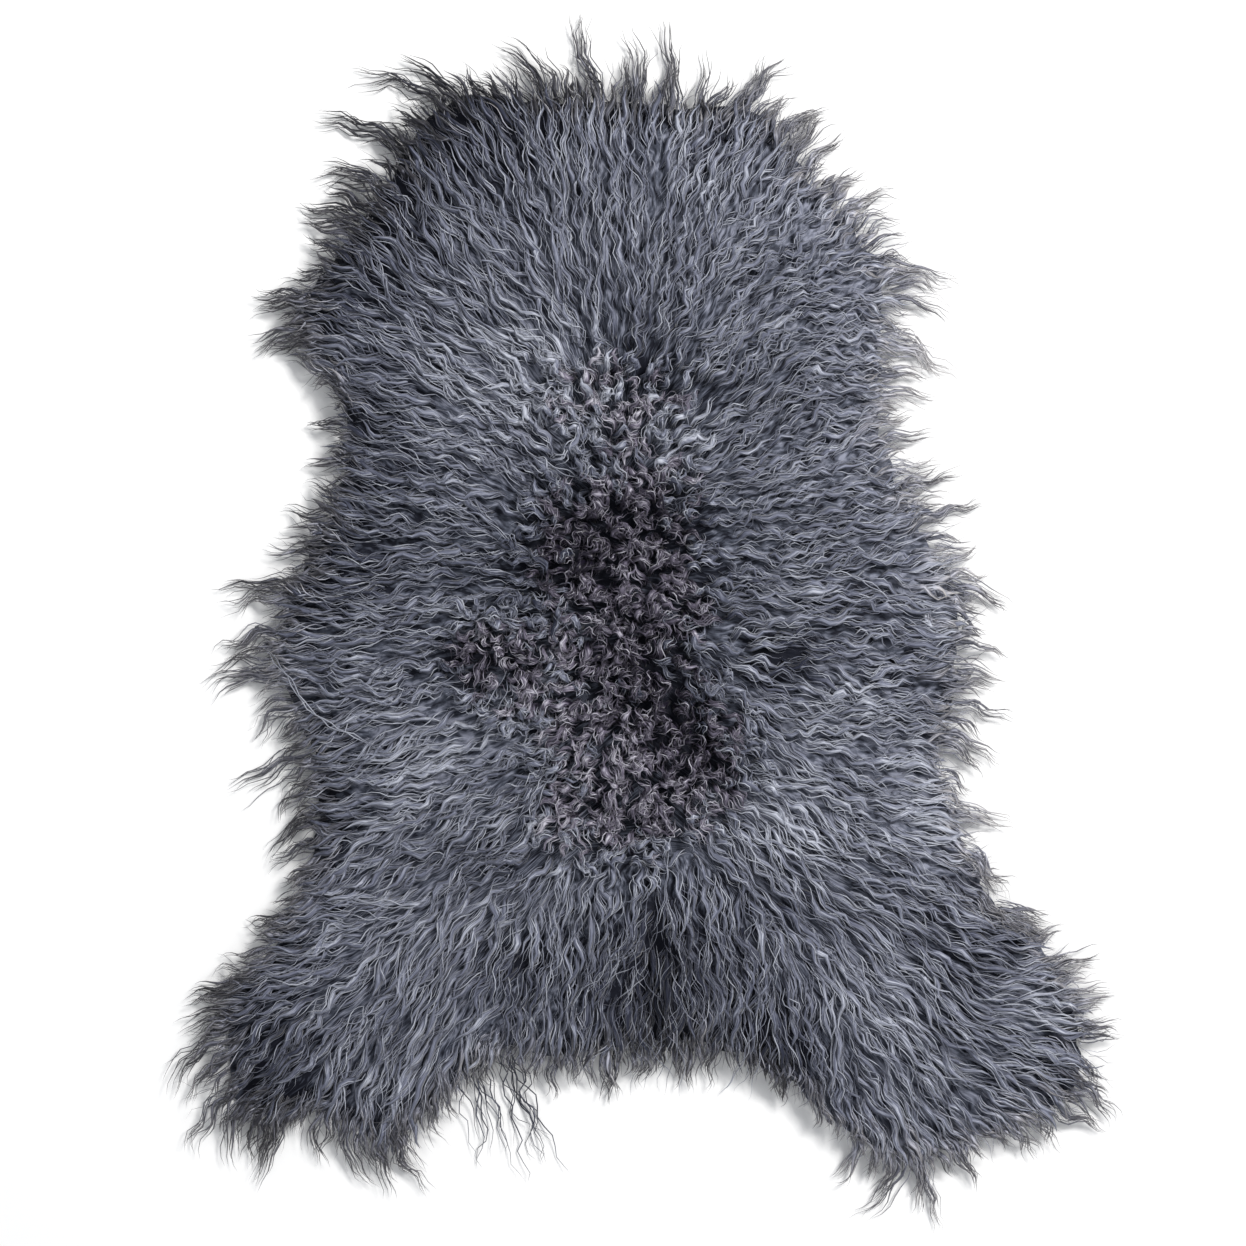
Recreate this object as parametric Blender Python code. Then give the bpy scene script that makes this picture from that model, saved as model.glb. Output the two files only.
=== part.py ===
"""A grey, long-wooled sheepskin rug: one tanned pelt that lies flat, wool side up.

Metres, with +Z up and +Y towards the neck end. The origin is the middle of the underside.
The pelt is one solid. Its underside is the flat hide. Its upper side is the fleece, combed
outward from the back line, and each stretch of its rim ends in a tapered, wavy lock of wool.
"""

import math
import random
from collections import namedtuple

import bmesh
import bpy
from mathutils import Matrix, Vector, noise

MM = 0.001

# Driving dimensions of the fleece, in metres.
RIM_HEIGHT = 13 * MM
LUMP_HEIGHT = 6.0 * MM
LUMP_SIZE = 60 * MM
TUFT_RELIEF = 2.8 * MM
STEEPEST_TUFT = 0.25
CURL_RELIEF = 4.0 * MM
CURL_SIZE = 22 * MM
CURL_REACH = 0.34
CURL_PLACE = Vector((9.0, 4.0, 2.0))
PARTING_DEPTH = 14 * MM
PARTING_WIDTH = 16 * MM

# The back line, which the wool is combed away from, runs from the shoulders to the loins.
BACK_FRONT = Vector((-0.020, 0.165))
BACK_REAR = Vector((0.002, -0.225))
BACK_CROWDING = 0.45

# Locks and the ring sections between the back line and the rim.
LOCKS = 192
COMB_TURN = 0.55
COMB_BEND = 0.42
EVENING_PASSES = 60
INNER_RINGS = (0.06, 0.13, 0.20, 0.27)
OUTER_RINGS = (0.36, 0.45, 0.54, 0.63, 0.72, 0.81, 0.90, 1.0)

LOCK_WAVE = 3.2 * MM
LOCK_WAVE_LENGTH = 27 * MM
LOCK_SECTIONS = ((0.16, 0.74, 0.94), (0.40, 0.56, 0.78), (0.63, 0.38, 0.56), (0.84, 0.20, 0.32))
LONG_LOCK_EVERY = 3
SHORT_LOCK = (0.48, 0.80)
LOCK_LEAN = math.radians(7)
PHASE_STEP = 0.4
SEED = 41

Height = namedtuple("Height", "share wool")
HEIGHTS = (
    Height(0.00, 44 * MM),
    Height(0.20, 46 * MM),
    Height(0.45, 46 * MM),
    Height(0.70, 39 * MM),
    Height(0.88, 27 * MM),
    Height(1.00, RIM_HEIGHT),
)

# The cut edge under the wool, clockwise from the neck: x, y and the longest lock there, in mm.
Edge = namedtuple("Edge", "place x y lock")
EDGES = (
    Edge("neck middle", -27, 489, 66),
    Edge("neck", 40, 478, 40),
    Edge("right neck corner", 106, 463, 34),
    Edge("right neck", 147, 414, 32),
    Edge("right shoulder", 196, 370, 26),
    Edge("right foreleg", 235, 315, 34),
    Edge("right foreleg", 233, 250, 40),
    Edge("right waist", 228, 182, 28),
    Edge("right flank", 250, 120, 26),
    Edge("right flank", 279, 58, 28),
    Edge("right belly", 297, -3, 30),
    Edge("right belly", 299, -73, 38),
    Edge("right hip", 284, -138, 34),
    Edge("right hip", 298, -203, 26),
    Edge("right thigh", 330, -265, 24),
    Edge("right thigh", 379, -316, 26),
    Edge("right hind leg", 413, -376, 35),
    Edge("right hind leg", 403, -435, 34),
    Edge("right hind leg", 356, -466, 34),
    Edge("right hind leg", 294, -491, 40),
    Edge("right hind leg", 237, -505, 42),
    Edge("right hem", 182, -471, 26),
    Edge("right hem", 125, -430, 28),
    Edge("right hem", 59, -409, 22),
    Edge("hem middle", -9, -408, 22),
    Edge("left hem", -79, -418, 26),
    Edge("left hem", -143, -426, 46),
    Edge("left hind leg", -193, -463, 36),
    Edge("left hind leg", -248, -499, 56),
    Edge("left hind leg", -303, -472, 42),
    Edge("left hind leg", -366, -466, 56),
    Edge("left hind leg", -395, -425, 72),
    Edge("left thigh", -390, -361, 40),
    Edge("left thigh", -350, -306, 28),
    Edge("left hip", -319, -244, 24),
    Edge("left hip", -314, -175, 24),
    Edge("left belly", -333, -108, 32),
    Edge("left belly", -351, -45, 48),
    Edge("left flank", -334, 17, 34),
    Edge("left flank", -304, 80, 28),
    Edge("left waist", -284, 144, 28),
    Edge("left waist", -293, 214, 24),
    Edge("left foreleg", -328, 272, 34),
    Edge("left shoulder", -294, 332, 32),
    Edge("left neck", -257, 392, 40),
    Edge("left neck corner", -217, 447, 46),
    Edge("left neck corner", -166, 490, 44),
    Edge("neck", -95, 484, 40),
)
HEM_MIDDLE = [edge.place for edge in EDGES].index("hem middle")
STEPS_PER_EDGE = 24

# The parting at the hem, where the wool falls away to both hind legs.
PARTING_START = Vector((0.010, -0.300))
PARTING_END = Vector((0.014, -0.420))


def blend(table, share):
    """The wool's height at a share of the way from the back line to the rim."""
    for low, high in zip(table, table[1:]):
        if share <= high.share:
            step = (share - low.share) / (high.share - low.share)
            return low.wool + (high.wool - low.wool) * step * step * (3 - 2 * step)
    return table[-1].wool


def catmull_rom(before, start, end, after, step):
    """A value on the smooth curve that runs through start and end."""
    return 0.5 * (
        2 * start
        + (end - before) * step
        + (2 * before - 5 * start + 4 * end - after) * step**2
        + (3 * start - before - 3 * end + after) * step**3
    )


def edge_curve(first, last):
    """Points (x, y, lock) of the cut edge, in metres, from one row of the table to another."""
    points = []
    for row in range(first, last):
        near = [EDGES[(row + offset) % len(EDGES)] for offset in (-1, 0, 1, 2)]
        for step in range(STEPS_PER_EDGE):
            share = step / STEPS_PER_EDGE
            columns = [[getattr(edge, name) * MM for edge in near] for name in ("x", "y", "lock")]
            points.append(Vector([catmull_rom(*column, share) for column in columns]))
    end = EDGES[last % len(EDGES)]
    points.append(Vector((end.x, end.y, end.lock)) * MM)
    return points


def evenly_spaced(points, count):
    """Points at equal steps along a polyline, without its last one."""
    lengths = [0.0]
    for start, end in zip(points, points[1:]):
        lengths.append(lengths[-1] + (end - start).to_2d().length)
    spaced = []
    span = 0
    for index in range(count):
        target = lengths[-1] * index / count
        while lengths[span + 1] < target:
            span += 1
        step = (target - lengths[span]) / (lengths[span + 1] - lengths[span])
        spaced.append(points[span].lerp(points[span + 1], step))
    return spaced


def outward(rim):
    """The unit direction in which the wool leaves the rim at each of its points."""
    count = len(rim)
    directions = []
    for index in range(count):
        along = (rim[(index + 3) % count] - rim[index - 3]).to_2d()
        directions.append(Vector((-along.y, along.x)).normalized())
    return directions


def back_point(index):
    """The point on the back line where the wool that reaches a rim point starts."""
    half = LOCKS // 2
    share = min(index, LOCKS - index) / half
    share -= BACK_CROWDING * math.sin(2 * math.pi * share) / (2 * math.pi)
    return BACK_FRONT.lerp(BACK_REAR, share)


def bend_points(rim, directions):
    """The point towards which each comb line bends, evened out round the pelt so that no two lines meet."""
    bends = []
    for index, point in enumerate(rim):
        start = back_point(index)
        end = point.to_2d()
        arrival = directions[index].lerp((end - start).normalized(), COMB_TURN).normalized()
        bends.append(end - arrival * (end - start).length * COMB_BEND)
    for _ in range(EVENING_PASSES):
        bends = [
            (bends[index - 1] + bends[index] * 2 + bends[(index + 1) % LOCKS]) / 4 for index in range(LOCKS)
        ]
    return bends


def combed(index, rim, bends, share):
    """A point on the line along which the wool is combed from the back line to the rim."""
    start = back_point(index)
    end = rim[index].to_2d()
    return start.lerp(bends[index], share).lerp(bends[index].lerp(end, share), share)


def parting(point):
    """How far the wool dips into the parting at the hem."""
    line = PARTING_END - PARTING_START
    along = (point - PARTING_START).dot(line) / line.length_squared
    nearest = PARTING_START + line * min(max(along, 0.0), 1.0)
    return PARTING_DEPTH * math.exp(-(((point - nearest).length / PARTING_WIDTH) ** 2))


def wool_height(point, share, tuft):
    """Height of the fleece: its crown, soft lumps, combed tufts and the short curls of the back."""
    height = blend(HEIGHTS, share)
    fade = min(1.0, (1.0 - share) * 4)
    curl = max(0.0, 1.0 - share / CURL_REACH)
    height += LUMP_HEIGHT * fade * noise.noise(point.to_3d() / LUMP_SIZE)
    height += tuft * fade * (1.0 - curl)
    height += CURL_RELIEF * curl * noise.noise(point.to_3d() / CURL_SIZE + CURL_PLACE)
    return height - parting(point) * fade


def fleece_ring(mesh, rim, bends, share, every, ring):
    """Vertices of one ring round the back line, one for every so many rim points.

    Tufts lie side by side, each two rings long and set half a tuft from those of the rings before.
    """
    points = [combed(index, rim, bends, share) for index in range(0, LOCKS, every)]
    verts = []
    for column, point in enumerate(points):
        spacing = (point - points[column - 1]).length
        tuft = min(TUFT_RELIEF, spacing * STEEPEST_TUFT) * (1 if (column + ring // 2) % 2 else -1)
        verts.append(mesh.verts.new((point.x, point.y, wool_height(point, share, tuft))))
    return verts


def back_chain(mesh):
    """Vertices along the back line, given twice: down its right side and up its left."""
    chain = []
    for index in range(0, LOCKS // 2 + 1, 2):
        point = back_point(index)
        chain.append(mesh.verts.new((point.x, point.y, wool_height(point, 0.0, 0.0))))
    return chain + chain[-2:0:-1]


def join_rings(mesh, inner, outer):
    """Faces between two rings, where the outer has as many vertices as the inner or twice as many."""
    count = len(inner)
    double = len(outer) == 2 * count
    for index in range(count):
        here, there = inner[index], inner[(index + 1) % count]
        if double:
            start, middle, end = (outer[(2 * index + offset) % len(outer)] for offset in (0, 1, 2))
            mesh.faces.new((here, start, middle))
            mesh.faces.new((here, middle, there))
            mesh.faces.new((there, middle, end))
        else:
            corners = [here, outer[index], outer[(index + 1) % count], there]
            mesh.faces.new(list(dict.fromkeys(corners)))


def lock_lengths(rim, chance):
    """One lock of every three is a long one, and the ones beside it are shorter by chance."""
    lengths = []
    for index, point in enumerate(rim):
        if index % LONG_LOCK_EVERY == 0:
            long_one = index + chance.randrange(LONG_LOCK_EVERY)
        share = 1.0 if index == long_one else chance.uniform(*SHORT_LOCK)
        lengths.append(point.z * share)
    return lengths


def add_lock(mesh, root, start, heading, length, phase):
    """A tapered, wavy, three-sided lock on one stretch of the rim, level with the floor below.

    root is the four vertices of that stretch: its lower two, then its upper two.
    """
    left, right, top_right, top_left = root
    width = (right.co - left.co).to_2d().length
    side = Vector((heading.y, -heading.x))
    rise = top_left.co.z

    def section(share, width_share, height_share):
        wave = LOCK_WAVE * share * math.sin(2 * math.pi * share * length / LOCK_WAVE_LENGTH + phase)
        middle = start + heading * length * share + side * wave
        half = side * width * width_share / 2
        corners = (middle - half, middle + half)
        ring = [mesh.verts.new((corner.x, corner.y, 0.0)) for corner in corners]
        ring.append(mesh.verts.new((middle.x, middle.y, rise * height_share)))
        return ring

    rings = [section(*row) for row in LOCK_SECTIONS]
    first = rings[0]
    mesh.faces.new((left, first[0], first[1], right))
    mesh.faces.new((right, first[1], first[2], top_right))
    mesh.faces.new((top_right, first[2], top_left))
    mesh.faces.new((top_left, first[2], first[0], left))
    for near, far in zip(rings, rings[1:]):
        for corner in range(3):
            after = (corner + 1) % 3
            mesh.faces.new((near[corner], far[corner], far[after], near[after]))
    end = start + heading * length
    tip = mesh.verts.new((end.x, end.y, 0.0))
    last = rings[-1]
    for corner in range(3):
        mesh.faces.new((last[corner], tip, last[(corner + 1) % 3]))


def add_locks(mesh, rim, directions, lower, upper):
    """One lock for each stretch between two rim points."""
    chance = random.Random(SEED)
    lengths = lock_lengths(rim, chance)
    for index in range(LOCKS):
        after = (index + 1) % LOCKS
        start = (rim[index].to_2d() + rim[after].to_2d()) / 2
        comb = (start - back_point(index)).normalized()
        normal = (directions[index] + directions[after]).normalized()
        heading = normal.lerp(comb, COMB_TURN / 2).normalized()
        heading.rotate(Matrix.Rotation(chance.uniform(-LOCK_LEAN, LOCK_LEAN), 2))
        root = (lower[index], lower[after], upper[after], upper[index])
        add_lock(mesh, root, start, heading, lengths[index], phase=index * PHASE_STEP)


def build_pelt(mesh):
    """The whole pelt: hide below, fleece above, and locks all round."""
    spans = ((0, HEM_MIDDLE), (HEM_MIDDLE, len(EDGES)))
    rim = [point for first, last in spans for point in evenly_spaced(edge_curve(first, last), LOCKS // 2)]
    directions = outward(rim)
    bends = bend_points(rim, directions)
    rings = [back_chain(mesh)]
    rings += [fleece_ring(mesh, rim, bends, share, 2, ring) for ring, share in enumerate(INNER_RINGS)]
    rings += [fleece_ring(mesh, rim, bends, share, 1, ring) for ring, share in enumerate(OUTER_RINGS)]
    for inner, outer in zip(rings, rings[1:]):
        join_rings(mesh, inner, outer)
    upper = rings[-1]
    lower = [mesh.verts.new((vert.co.x, vert.co.y, 0.0)) for vert in upper]
    hide = mesh.faces.new(lower)
    hide.material_index = 1
    add_locks(mesh, rim, directions, lower, upper)
    bmesh.ops.recalc_face_normals(mesh, faces=mesh.faces)


def centre(mesh):
    """Moves the pelt so that the middle of its underside is the origin."""
    for axis in (0, 1):
        places = [vert.co[axis] for vert in mesh.verts]
        middle = (min(places) + max(places)) / 2
        for vert in mesh.verts:
            vert.co[axis] -= middle


def finish(name, colour, roughness):
    """A plain material with a colour, a roughness and no metal."""
    material = bpy.data.materials.new(name)
    material.use_nodes = True
    shader = material.node_tree.nodes["Principled BSDF"]
    shader.inputs["Base Color"].default_value = (*colour, 1.0)
    shader.inputs["Roughness"].default_value = roughness
    shader.inputs["Metallic"].default_value = 0.0
    return material


def main():
    for old in list(bpy.data.objects):
        bpy.data.objects.remove(old)
    mesh = bmesh.new()
    build_pelt(mesh)
    centre(mesh)
    data = bpy.data.meshes.new("sheepskin")
    mesh.to_mesh(data)
    mesh.free()
    data.materials.append(finish("grey wool", (0.105, 0.110, 0.135), 0.85))
    data.materials.append(finish("tanned hide", (0.62, 0.55, 0.46), 0.75))
    bpy.context.collection.objects.link(bpy.data.objects.new("sheepskin", data))


if __name__ == "__main__":
    main()
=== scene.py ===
"""Looks of a grey, long-wooled sheepskin rug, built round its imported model.

Metres, +Z up, +Y towards the neck end. One hide lies flat on the floor. A dense underfleece
covers it, and over that lie wavy locks combed outward from the back line, curls along the
back, and pointed wisps with fine down between them all round the rim.
"""

import logging
import math
from collections.abc import Callable
from dataclasses import dataclass
from enum import Enum
from typing import TypeAlias

import bmesh
import bpy
import numpy as np
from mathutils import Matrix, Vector


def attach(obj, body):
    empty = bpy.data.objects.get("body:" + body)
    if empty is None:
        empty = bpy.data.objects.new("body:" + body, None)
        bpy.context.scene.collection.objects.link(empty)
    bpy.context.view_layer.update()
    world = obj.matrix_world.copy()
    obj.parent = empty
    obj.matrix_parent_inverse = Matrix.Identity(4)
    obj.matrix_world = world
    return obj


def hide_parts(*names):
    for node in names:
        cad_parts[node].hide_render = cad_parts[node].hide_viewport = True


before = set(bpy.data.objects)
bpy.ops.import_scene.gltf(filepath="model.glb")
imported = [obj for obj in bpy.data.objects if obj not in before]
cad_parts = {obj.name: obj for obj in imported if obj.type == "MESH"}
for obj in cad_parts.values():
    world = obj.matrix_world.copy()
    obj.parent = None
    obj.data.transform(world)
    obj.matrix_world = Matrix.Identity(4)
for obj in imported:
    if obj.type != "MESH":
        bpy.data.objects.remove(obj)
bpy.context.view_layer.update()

log = logging.getLogger("sheepskin")

Range: TypeAlias = tuple[float, float]
Colour: TypeAlias = tuple[float, float, float]
Stops: TypeAlias = list[tuple[float, Colour]]
Habit: TypeAlias = np.ndarray | float
Feed: TypeAlias = "Signal | float | tuple[float, ...]"

MM = 0.001
TINY = 1e-9
NODE = "sheepskin"
BODY = "root"
PALETTE = "OFBake"
FLOW = "flow"
TONE = "tone"

# The photograph: its width in pixels, the pelt's tip-to-tip length in pixels and in metres,
# and the pixel over which the middle of the pelt lies.
IMAGE_PIXELS = 1246
PELT_PIXELS = 1200
PELT_LENGTH = 1.10
PELT_MIDDLE_PIXEL = (640, 615)
PIXEL = PELT_LENGTH / PELT_PIXELS

# Heights of the fleece over the floor, at shares of the way from the back line to the rim,
# how fast it falls past the rim, to what height, and the height that no strand passes.
CROWN_SHARES = (0.00, 0.20, 0.45, 0.70, 0.88, 1.00)
CROWN_HEIGHTS = (0.044, 0.046, 0.046, 0.039, 0.027, 0.013)
RIM_FALL = 0.014
RIM_REST = 0.002
LUMP_HEIGHT = 0.004
CEILING = 0.0575
HIDE_THICKNESS = 0.002

# The parting at the hem, where the wool falls away to both hind legs.
PARTING_START = (0.010, -0.300)
PARTING_END = (0.014, -0.420)
PARTING_DEPTH = 0.012
PARTING_WIDTH = 0.012


@dataclass(frozen=True)
class Station:
    """A place on the cut edge of the hide, in mm, with the longest lock that grows there."""

    place: str
    x: float
    y: float
    lock: float


STATIONS = (
    Station("neck middle", -27, 485, 55),
    Station("neck", 40, 478, 46),
    Station("right neck corner", 116, 470, 36),
    Station("right neck", 154, 420, 27),
    Station("right shoulder", 200, 372, 34),
    Station("right foreleg", 235, 315, 34),
    Station("right foreleg", 233, 250, 40),
    Station("right waist", 228, 182, 28),
    Station("right flank", 250, 120, 32),
    Station("right flank", 284, 58, 33),
    Station("right belly", 305, 4, 38),
    Station("right belly", 299, -73, 38),
    Station("right hip", 284, -138, 38),
    Station("right hip", 303, -197, 28),
    Station("right thigh", 335, -263, 28),
    Station("right thigh", 387, -314, 25),
    Station("right hind leg", 413, -376, 44),
    Station("right hind leg", 409, -440, 32),
    Station("right hind leg", 362, -469, 39),
    Station("right hind leg", 288, -497, 41),
    Station("right hind leg", 232, -506, 41),
    Station("right hem", 176, -473, 21),
    Station("right hem", 125, -430, 22),
    Station("right hem", 59, -405, 22),
    Station("hem middle", -9, -408, 22),
    Station("left hem", -79, -418, 26),
    Station("left hem", -143, -410, 36),
    Station("left hind leg", -198, -469, 48),
    Station("left hind leg", -242, -493, 56),
    Station("left hind leg", -300, -460, 38),
    Station("left hind leg", -368, -463, 41),
    Station("left hind leg", -388, -420, 62),
    Station("left thigh", -390, -361, 40),
    Station("left thigh", -350, -306, 33),
    Station("left hip", -317, -244, 20),
    Station("left hip", -307, -175, 36),
    Station("left belly", -317, -112, 66),
    Station("left belly", -346, -45, 60),
    Station("left flank", -332, 17, 45),
    Station("left flank", -304, 80, 41),
    Station("left waist", -280, 144, 28),
    Station("left waist", -293, 214, 24),
    Station("left foreleg", -325, 272, 28),
    Station("left shoulder", -290, 332, 32),
    Station("left neck", -253, 389, 43),
    Station("left neck corner", -217, 447, 52),
    Station("left neck corner", -166, 490, 48),
    Station("neck", -95, 484, 40),
)
HEM_MIDDLE = [station.place for station in STATIONS].index("hem middle")


@dataclass(frozen=True)
class Patch:
    """A soft-edged oval on the pelt, in mm, with how strongly it acts."""

    place: str
    x: float
    y: float
    across: float
    along: float
    strength: float


# Wool that stands up in short curls instead of lying combed.
CURLY_PATCHES = (
    Patch("back", -28, 30, 104, 165, 0.95),
    Patch("back, rear", 50, -130, 75, 70, 0.6),
    Patch("left whorl", -137, -46, 48, 45, 0.7),
    Patch("loins", -45, -180, 110, 70, 0.55),
    Patch("shoulders", -20, 205, 80, 45, 0.45),
)

# Combed wool that is crimped into short, sharp waves.
CRIMPED_PATCHES = (
    Patch("round the back", -15, 10, 200, 270, 0.8),
    Patch("right shoulder", 125, 270, 110, 110, 0.8),
    Patch("right flank", 190, -20, 90, 120, 0.3),
)

# Hollows from which the wool radiates.
WHORLS = (Patch("left whorl", -126, -48, 26, 26, 1.0),)
WHORL_DEPTH = 0.004

# Darker and paler wool: partly its own tone, partly painted shade in the partings, the whorls and along the
# neck and left edges, away from the light, and painted light along the right edges, which face it.
TONE_AND_SHADING_PATCHES = (
    Patch("back", -20, -60, 130, 200, 0.01),
    Patch("back, shoulder end", -18, 78, 75, 52, -0.25),
    Patch("back, front right", 35, 95, 35, 30, -0.10),
    Patch("back, left front", -76, 48, 68, 36, -0.25),
    Patch("back, right", 74, 20, 36, 40, -0.22),
    Patch("back, middle", -9, -40, 45, 45, -0.30),
    Patch("back, rear", 28, -92, 44, 46, -0.38),
    Patch("back, rear left", -14, -133, 25, 25, 0.12),
    Patch("back, rear right", 66, -132, 30, 30, -0.22),
    Patch("loins", 9, -183, 45, 30, -0.10),
    Patch("right loin", 100, -165, 50, 40, 0.16),
    Patch("right of the back", 165, -90, 45, 40, 0.16),
    Patch("rump", 10, -265, 60, 36, -0.12),
    Patch("rump, right", 38, -222, 26, 26, 0.05),
    Patch("left whorl", -150, -44, 30, 28, -0.22),
    Patch("right whorl", 126, -42, 24, 18, -0.95),
    Patch("above the right whorl", 124, 12, 36, 28, 0.10),
    Patch("right of the back, front", 42, 145, 36, 30, 0.12),
    Patch("left of the back line", -45, -8, 34, 34, 0.10),
    Patch("right loin, rear", 124, -180, 28, 26, 0.20),
    Patch("left belly", -240, -62, 45, 42, 0.10),
    Patch("below the whorl", -165, -128, 64, 36, 0.24),
    Patch("left loin", -105, -140, 28, 30, -0.20),
    Patch("left rump", -120, -215, 42, 30, -0.14),
    Patch("left rump, middle", -112, -272, 55, 24, 0.24),
    Patch("left rump, rear", -108, -310, 40, 28, -0.40),
    Patch("neck parting", 6, 226, 32, 32, -0.34),
    Patch("shoulders", -55, 198, 98, 50, 0.25),
    Patch("right of the neck parting", 95, 195, 66, 56, -0.18),
    Patch("hem parting", 8, -345, 50, 66, -0.48),
    Patch("hem edge", -10, -410, 105, 16, -0.28),
    Patch("hem parting, middle", 20, -330, 17, 55, -1.0),
    Patch("right of the hem", 124, -382, 48, 50, -0.50),
    Patch("right flank", 250, 130, 90, 260, 0.09),
    Patch("right hip", 190, -195, 34, 34, -0.02),
    Patch("right belly", 240, -62, 42, 60, -0.12),
    Patch("left back", -150, 190, 60, 44, 0.02),
    Patch("left shoulder", -220, 367, 60, 60, -0.10),
    Patch("left side, inner", -200, 95, 40, 75, -0.07),
    Patch("left belly, edge", -325, -42, 44, 36, 0.26),
    Patch("left neck corner", -172, 440, 62, 48, -0.50),
    Patch("neck edge", -90, 466, 110, 34, -0.42),
    Patch("neck", -120, 385, 70, 60, -0.11),
    Patch("neck edge, right", 42, 470, 46, 28, -0.36),
    Patch("left side", -250, 170, 52, 230, -0.12),
    Patch("left flank", -276, 35, 60, 60, -0.17),
    Patch("left shoulder edge", -240, 372, 55, 62, -0.14),
    Patch("left foreleg", -292, 288, 48, 62, -0.10),
    Patch("left hip", -295, -185, 42, 42, -0.15),
    Patch("left thigh", -243, -262, 52, 42, 0.08),
    Patch("left hind leg", -330, -412, 44, 74, -0.36),
    Patch("right thigh", 190, -240, 120, 90, 0.06),
    Patch("right thigh, outer", 300, -306, 75, 60, -0.16),
    Patch("right thigh, top", 264, -262, 55, 34, -0.12),
    Patch("right thigh, rear", 196, -358, 54, 66, 0.25),
    Patch("right side, front", 130, 160, 40, 34, -0.02),
    Patch("right side, inner", 174, 30, 45, 84, -0.18),
    Patch("right flank, edge", 218, 70, 36, 50, -0.07),
    Patch("left waist, front", -285, 234, 30, 35, 0.20),
    Patch("left hind leg, tip", -392, -410, 34, 50, 0.28),
    Patch("right hind leg, edge", 346, -352, 32, 26, 0.42),
    Patch("right heel", 265, -495, 50, 28, 0.10),
    Patch("right neck", 92, 414, 50, 34, -0.14),
    Patch("right edge, front", 220, 248, 28, 60, 0.28),
    Patch("right waist, edge", 222, 160, 24, 50, 0.14),
    Patch("right edge", 264, 24, 28, 55, 0.32),
    Patch("left of the back", -120, -45, 30, 60, 0.11),
    Patch("left rump, front", -95, -176, 40, 26, 0.20),
    Patch("left hind leg, rear", -290, -450, 30, 30, 0.18),
    Patch("right of the rump", 80, -285, 30, 34, -0.14),
    Patch("front of the shoulders", -106, 232, 40, 30, 0.05),
    Patch("left hem, edge", -126, -402, 38, 30, 0.34),
    Patch("right hip, edge", 250, -165, 34, 44, 0.32),
    Patch("right thigh, front", 80, -268, 24, 30, -0.12),
    Patch("right hind leg, front", 388, -400, 40, 36, -0.26),
    Patch("right hind leg, rear", 310, -454, 34, 26, 0.14),
    Patch("left thigh, rear", -300, -362, 40, 26, -0.06),
    Patch("left of the loins", -60, -225, 26, 24, 0.13),
    Patch("right of the loins", 78, -165, 26, 36, 0.08),
    Patch("right of the back, rear", 80, -82, 18, 22, 0.16),
    Patch("left of the neck parting", -140, 186, 30, 30, 0.12),
    Patch("right of the right whorl", 174, -42, 18, 22, 0.13),
    Patch("right neck, rear", 120, 362, 84, 24, 0.18),
    Patch("neck middle", 28, 425, 20, 34, 0.20),
    Patch("neck, left of the middle", -14, 371, 26, 26, -0.08),
)

# How much farther than elsewhere the wool reaches past the edge, in mm.
FULLER_EDGES = (
    Patch("right side", 320, 0, 120, 420, 2),
    Patch("right neck corner", 135, 460, 30, 30, 7),
    Patch("right foreleg", 238, 283, 34, 34, 20),
    Patch("right belly", 310, -20, 40, 40, -5),
    Patch("right hind leg", 420, -440, 40, 44, 5),
    Patch("right hind leg, tip", 415, -392, 26, 24, 13),
    Patch("right hind leg, sole", 344, -484, 26, 20, -6),
    Patch("hem middle", -30, -395, 65, 30, 8),
    Patch("left waist", -290, 165, 30, 60, -6),
    Patch("left belly, rear", -315, -125, 40, 40, 5),
    Patch("left hind leg", -400, -446, 34, 26, 18),
    Patch("left heel", -320, -452, 34, 34, 16),
    Patch("right heel", 318, -495, 26, 22, -12),
    Patch("left thigh", -362, -320, 36, 36, 9),
    Patch("neck", -62, 490, 26, 30, -8),
    Patch("right shoulder", 212, 352, 34, 36, 24),
    Patch("left neck", -276, 388, 40, 40, -13),
    Patch("right flank", 248, 94, 34, 30, 12),
)

# How far the wool near the edge turns anticlockwise of its comb, in radians.
SWEPT_EDGES = (
    Patch("neck, left", -120, 480, 90, 60, 0.60),
    Patch("neck middle", 10, 490, 50, 50, -0.25),
    Patch("right hip", 300, -190, 60, 110, -0.35),
    Patch("left hip", -300, -190, 60, 80, 0.40),
    Patch("left belly", -325, -78, 42, 46, 0.80),
    Patch("right shoulder", 150, 268, 105, 108, -0.56),
    Patch("right thigh", 160, -245, 62, 85, -0.48),
    Patch("left thigh", -205, -290, 85, 95, 0.30),
    Patch("left neck corner", -215, 420, 50, 60, 0.50),
    Patch("left foreleg", -315, 285, 40, 45, 0.35),
    Patch("left hind leg", -375, -410, 45, 50, 0.30),
)


def smooth(value: np.ndarray) -> np.ndarray:
    """Eases a share between 0 and 1, and holds it there outside."""
    held = np.clip(value, 0.0, 1.0)
    return held * held * (3 - 2 * held)


def turned(headings: np.ndarray, angle: np.ndarray) -> np.ndarray:
    """Turns headings anticlockwise.

    Args:
        headings: Directions (x, y), in the last axis.
        angle: The angle for each, in radians.

    Returns:
        The turned directions.
    """
    cosine, sine = np.cos(angle), np.sin(angle)
    x, y = headings[..., 0], headings[..., 1]
    return np.stack((x * cosine - y * sine, x * sine + y * cosine), axis=-1)


def linked(name: str, data: bpy.types.ID) -> bpy.types.Object:
    """Puts a mesh, a light or a camera in the scene.

    Args:
        name: Name of the object.
        data: What it shows.

    Returns:
        The new object.
    """
    made = bpy.data.objects.new(name, data)
    bpy.context.scene.collection.objects.link(made)
    return made


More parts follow.
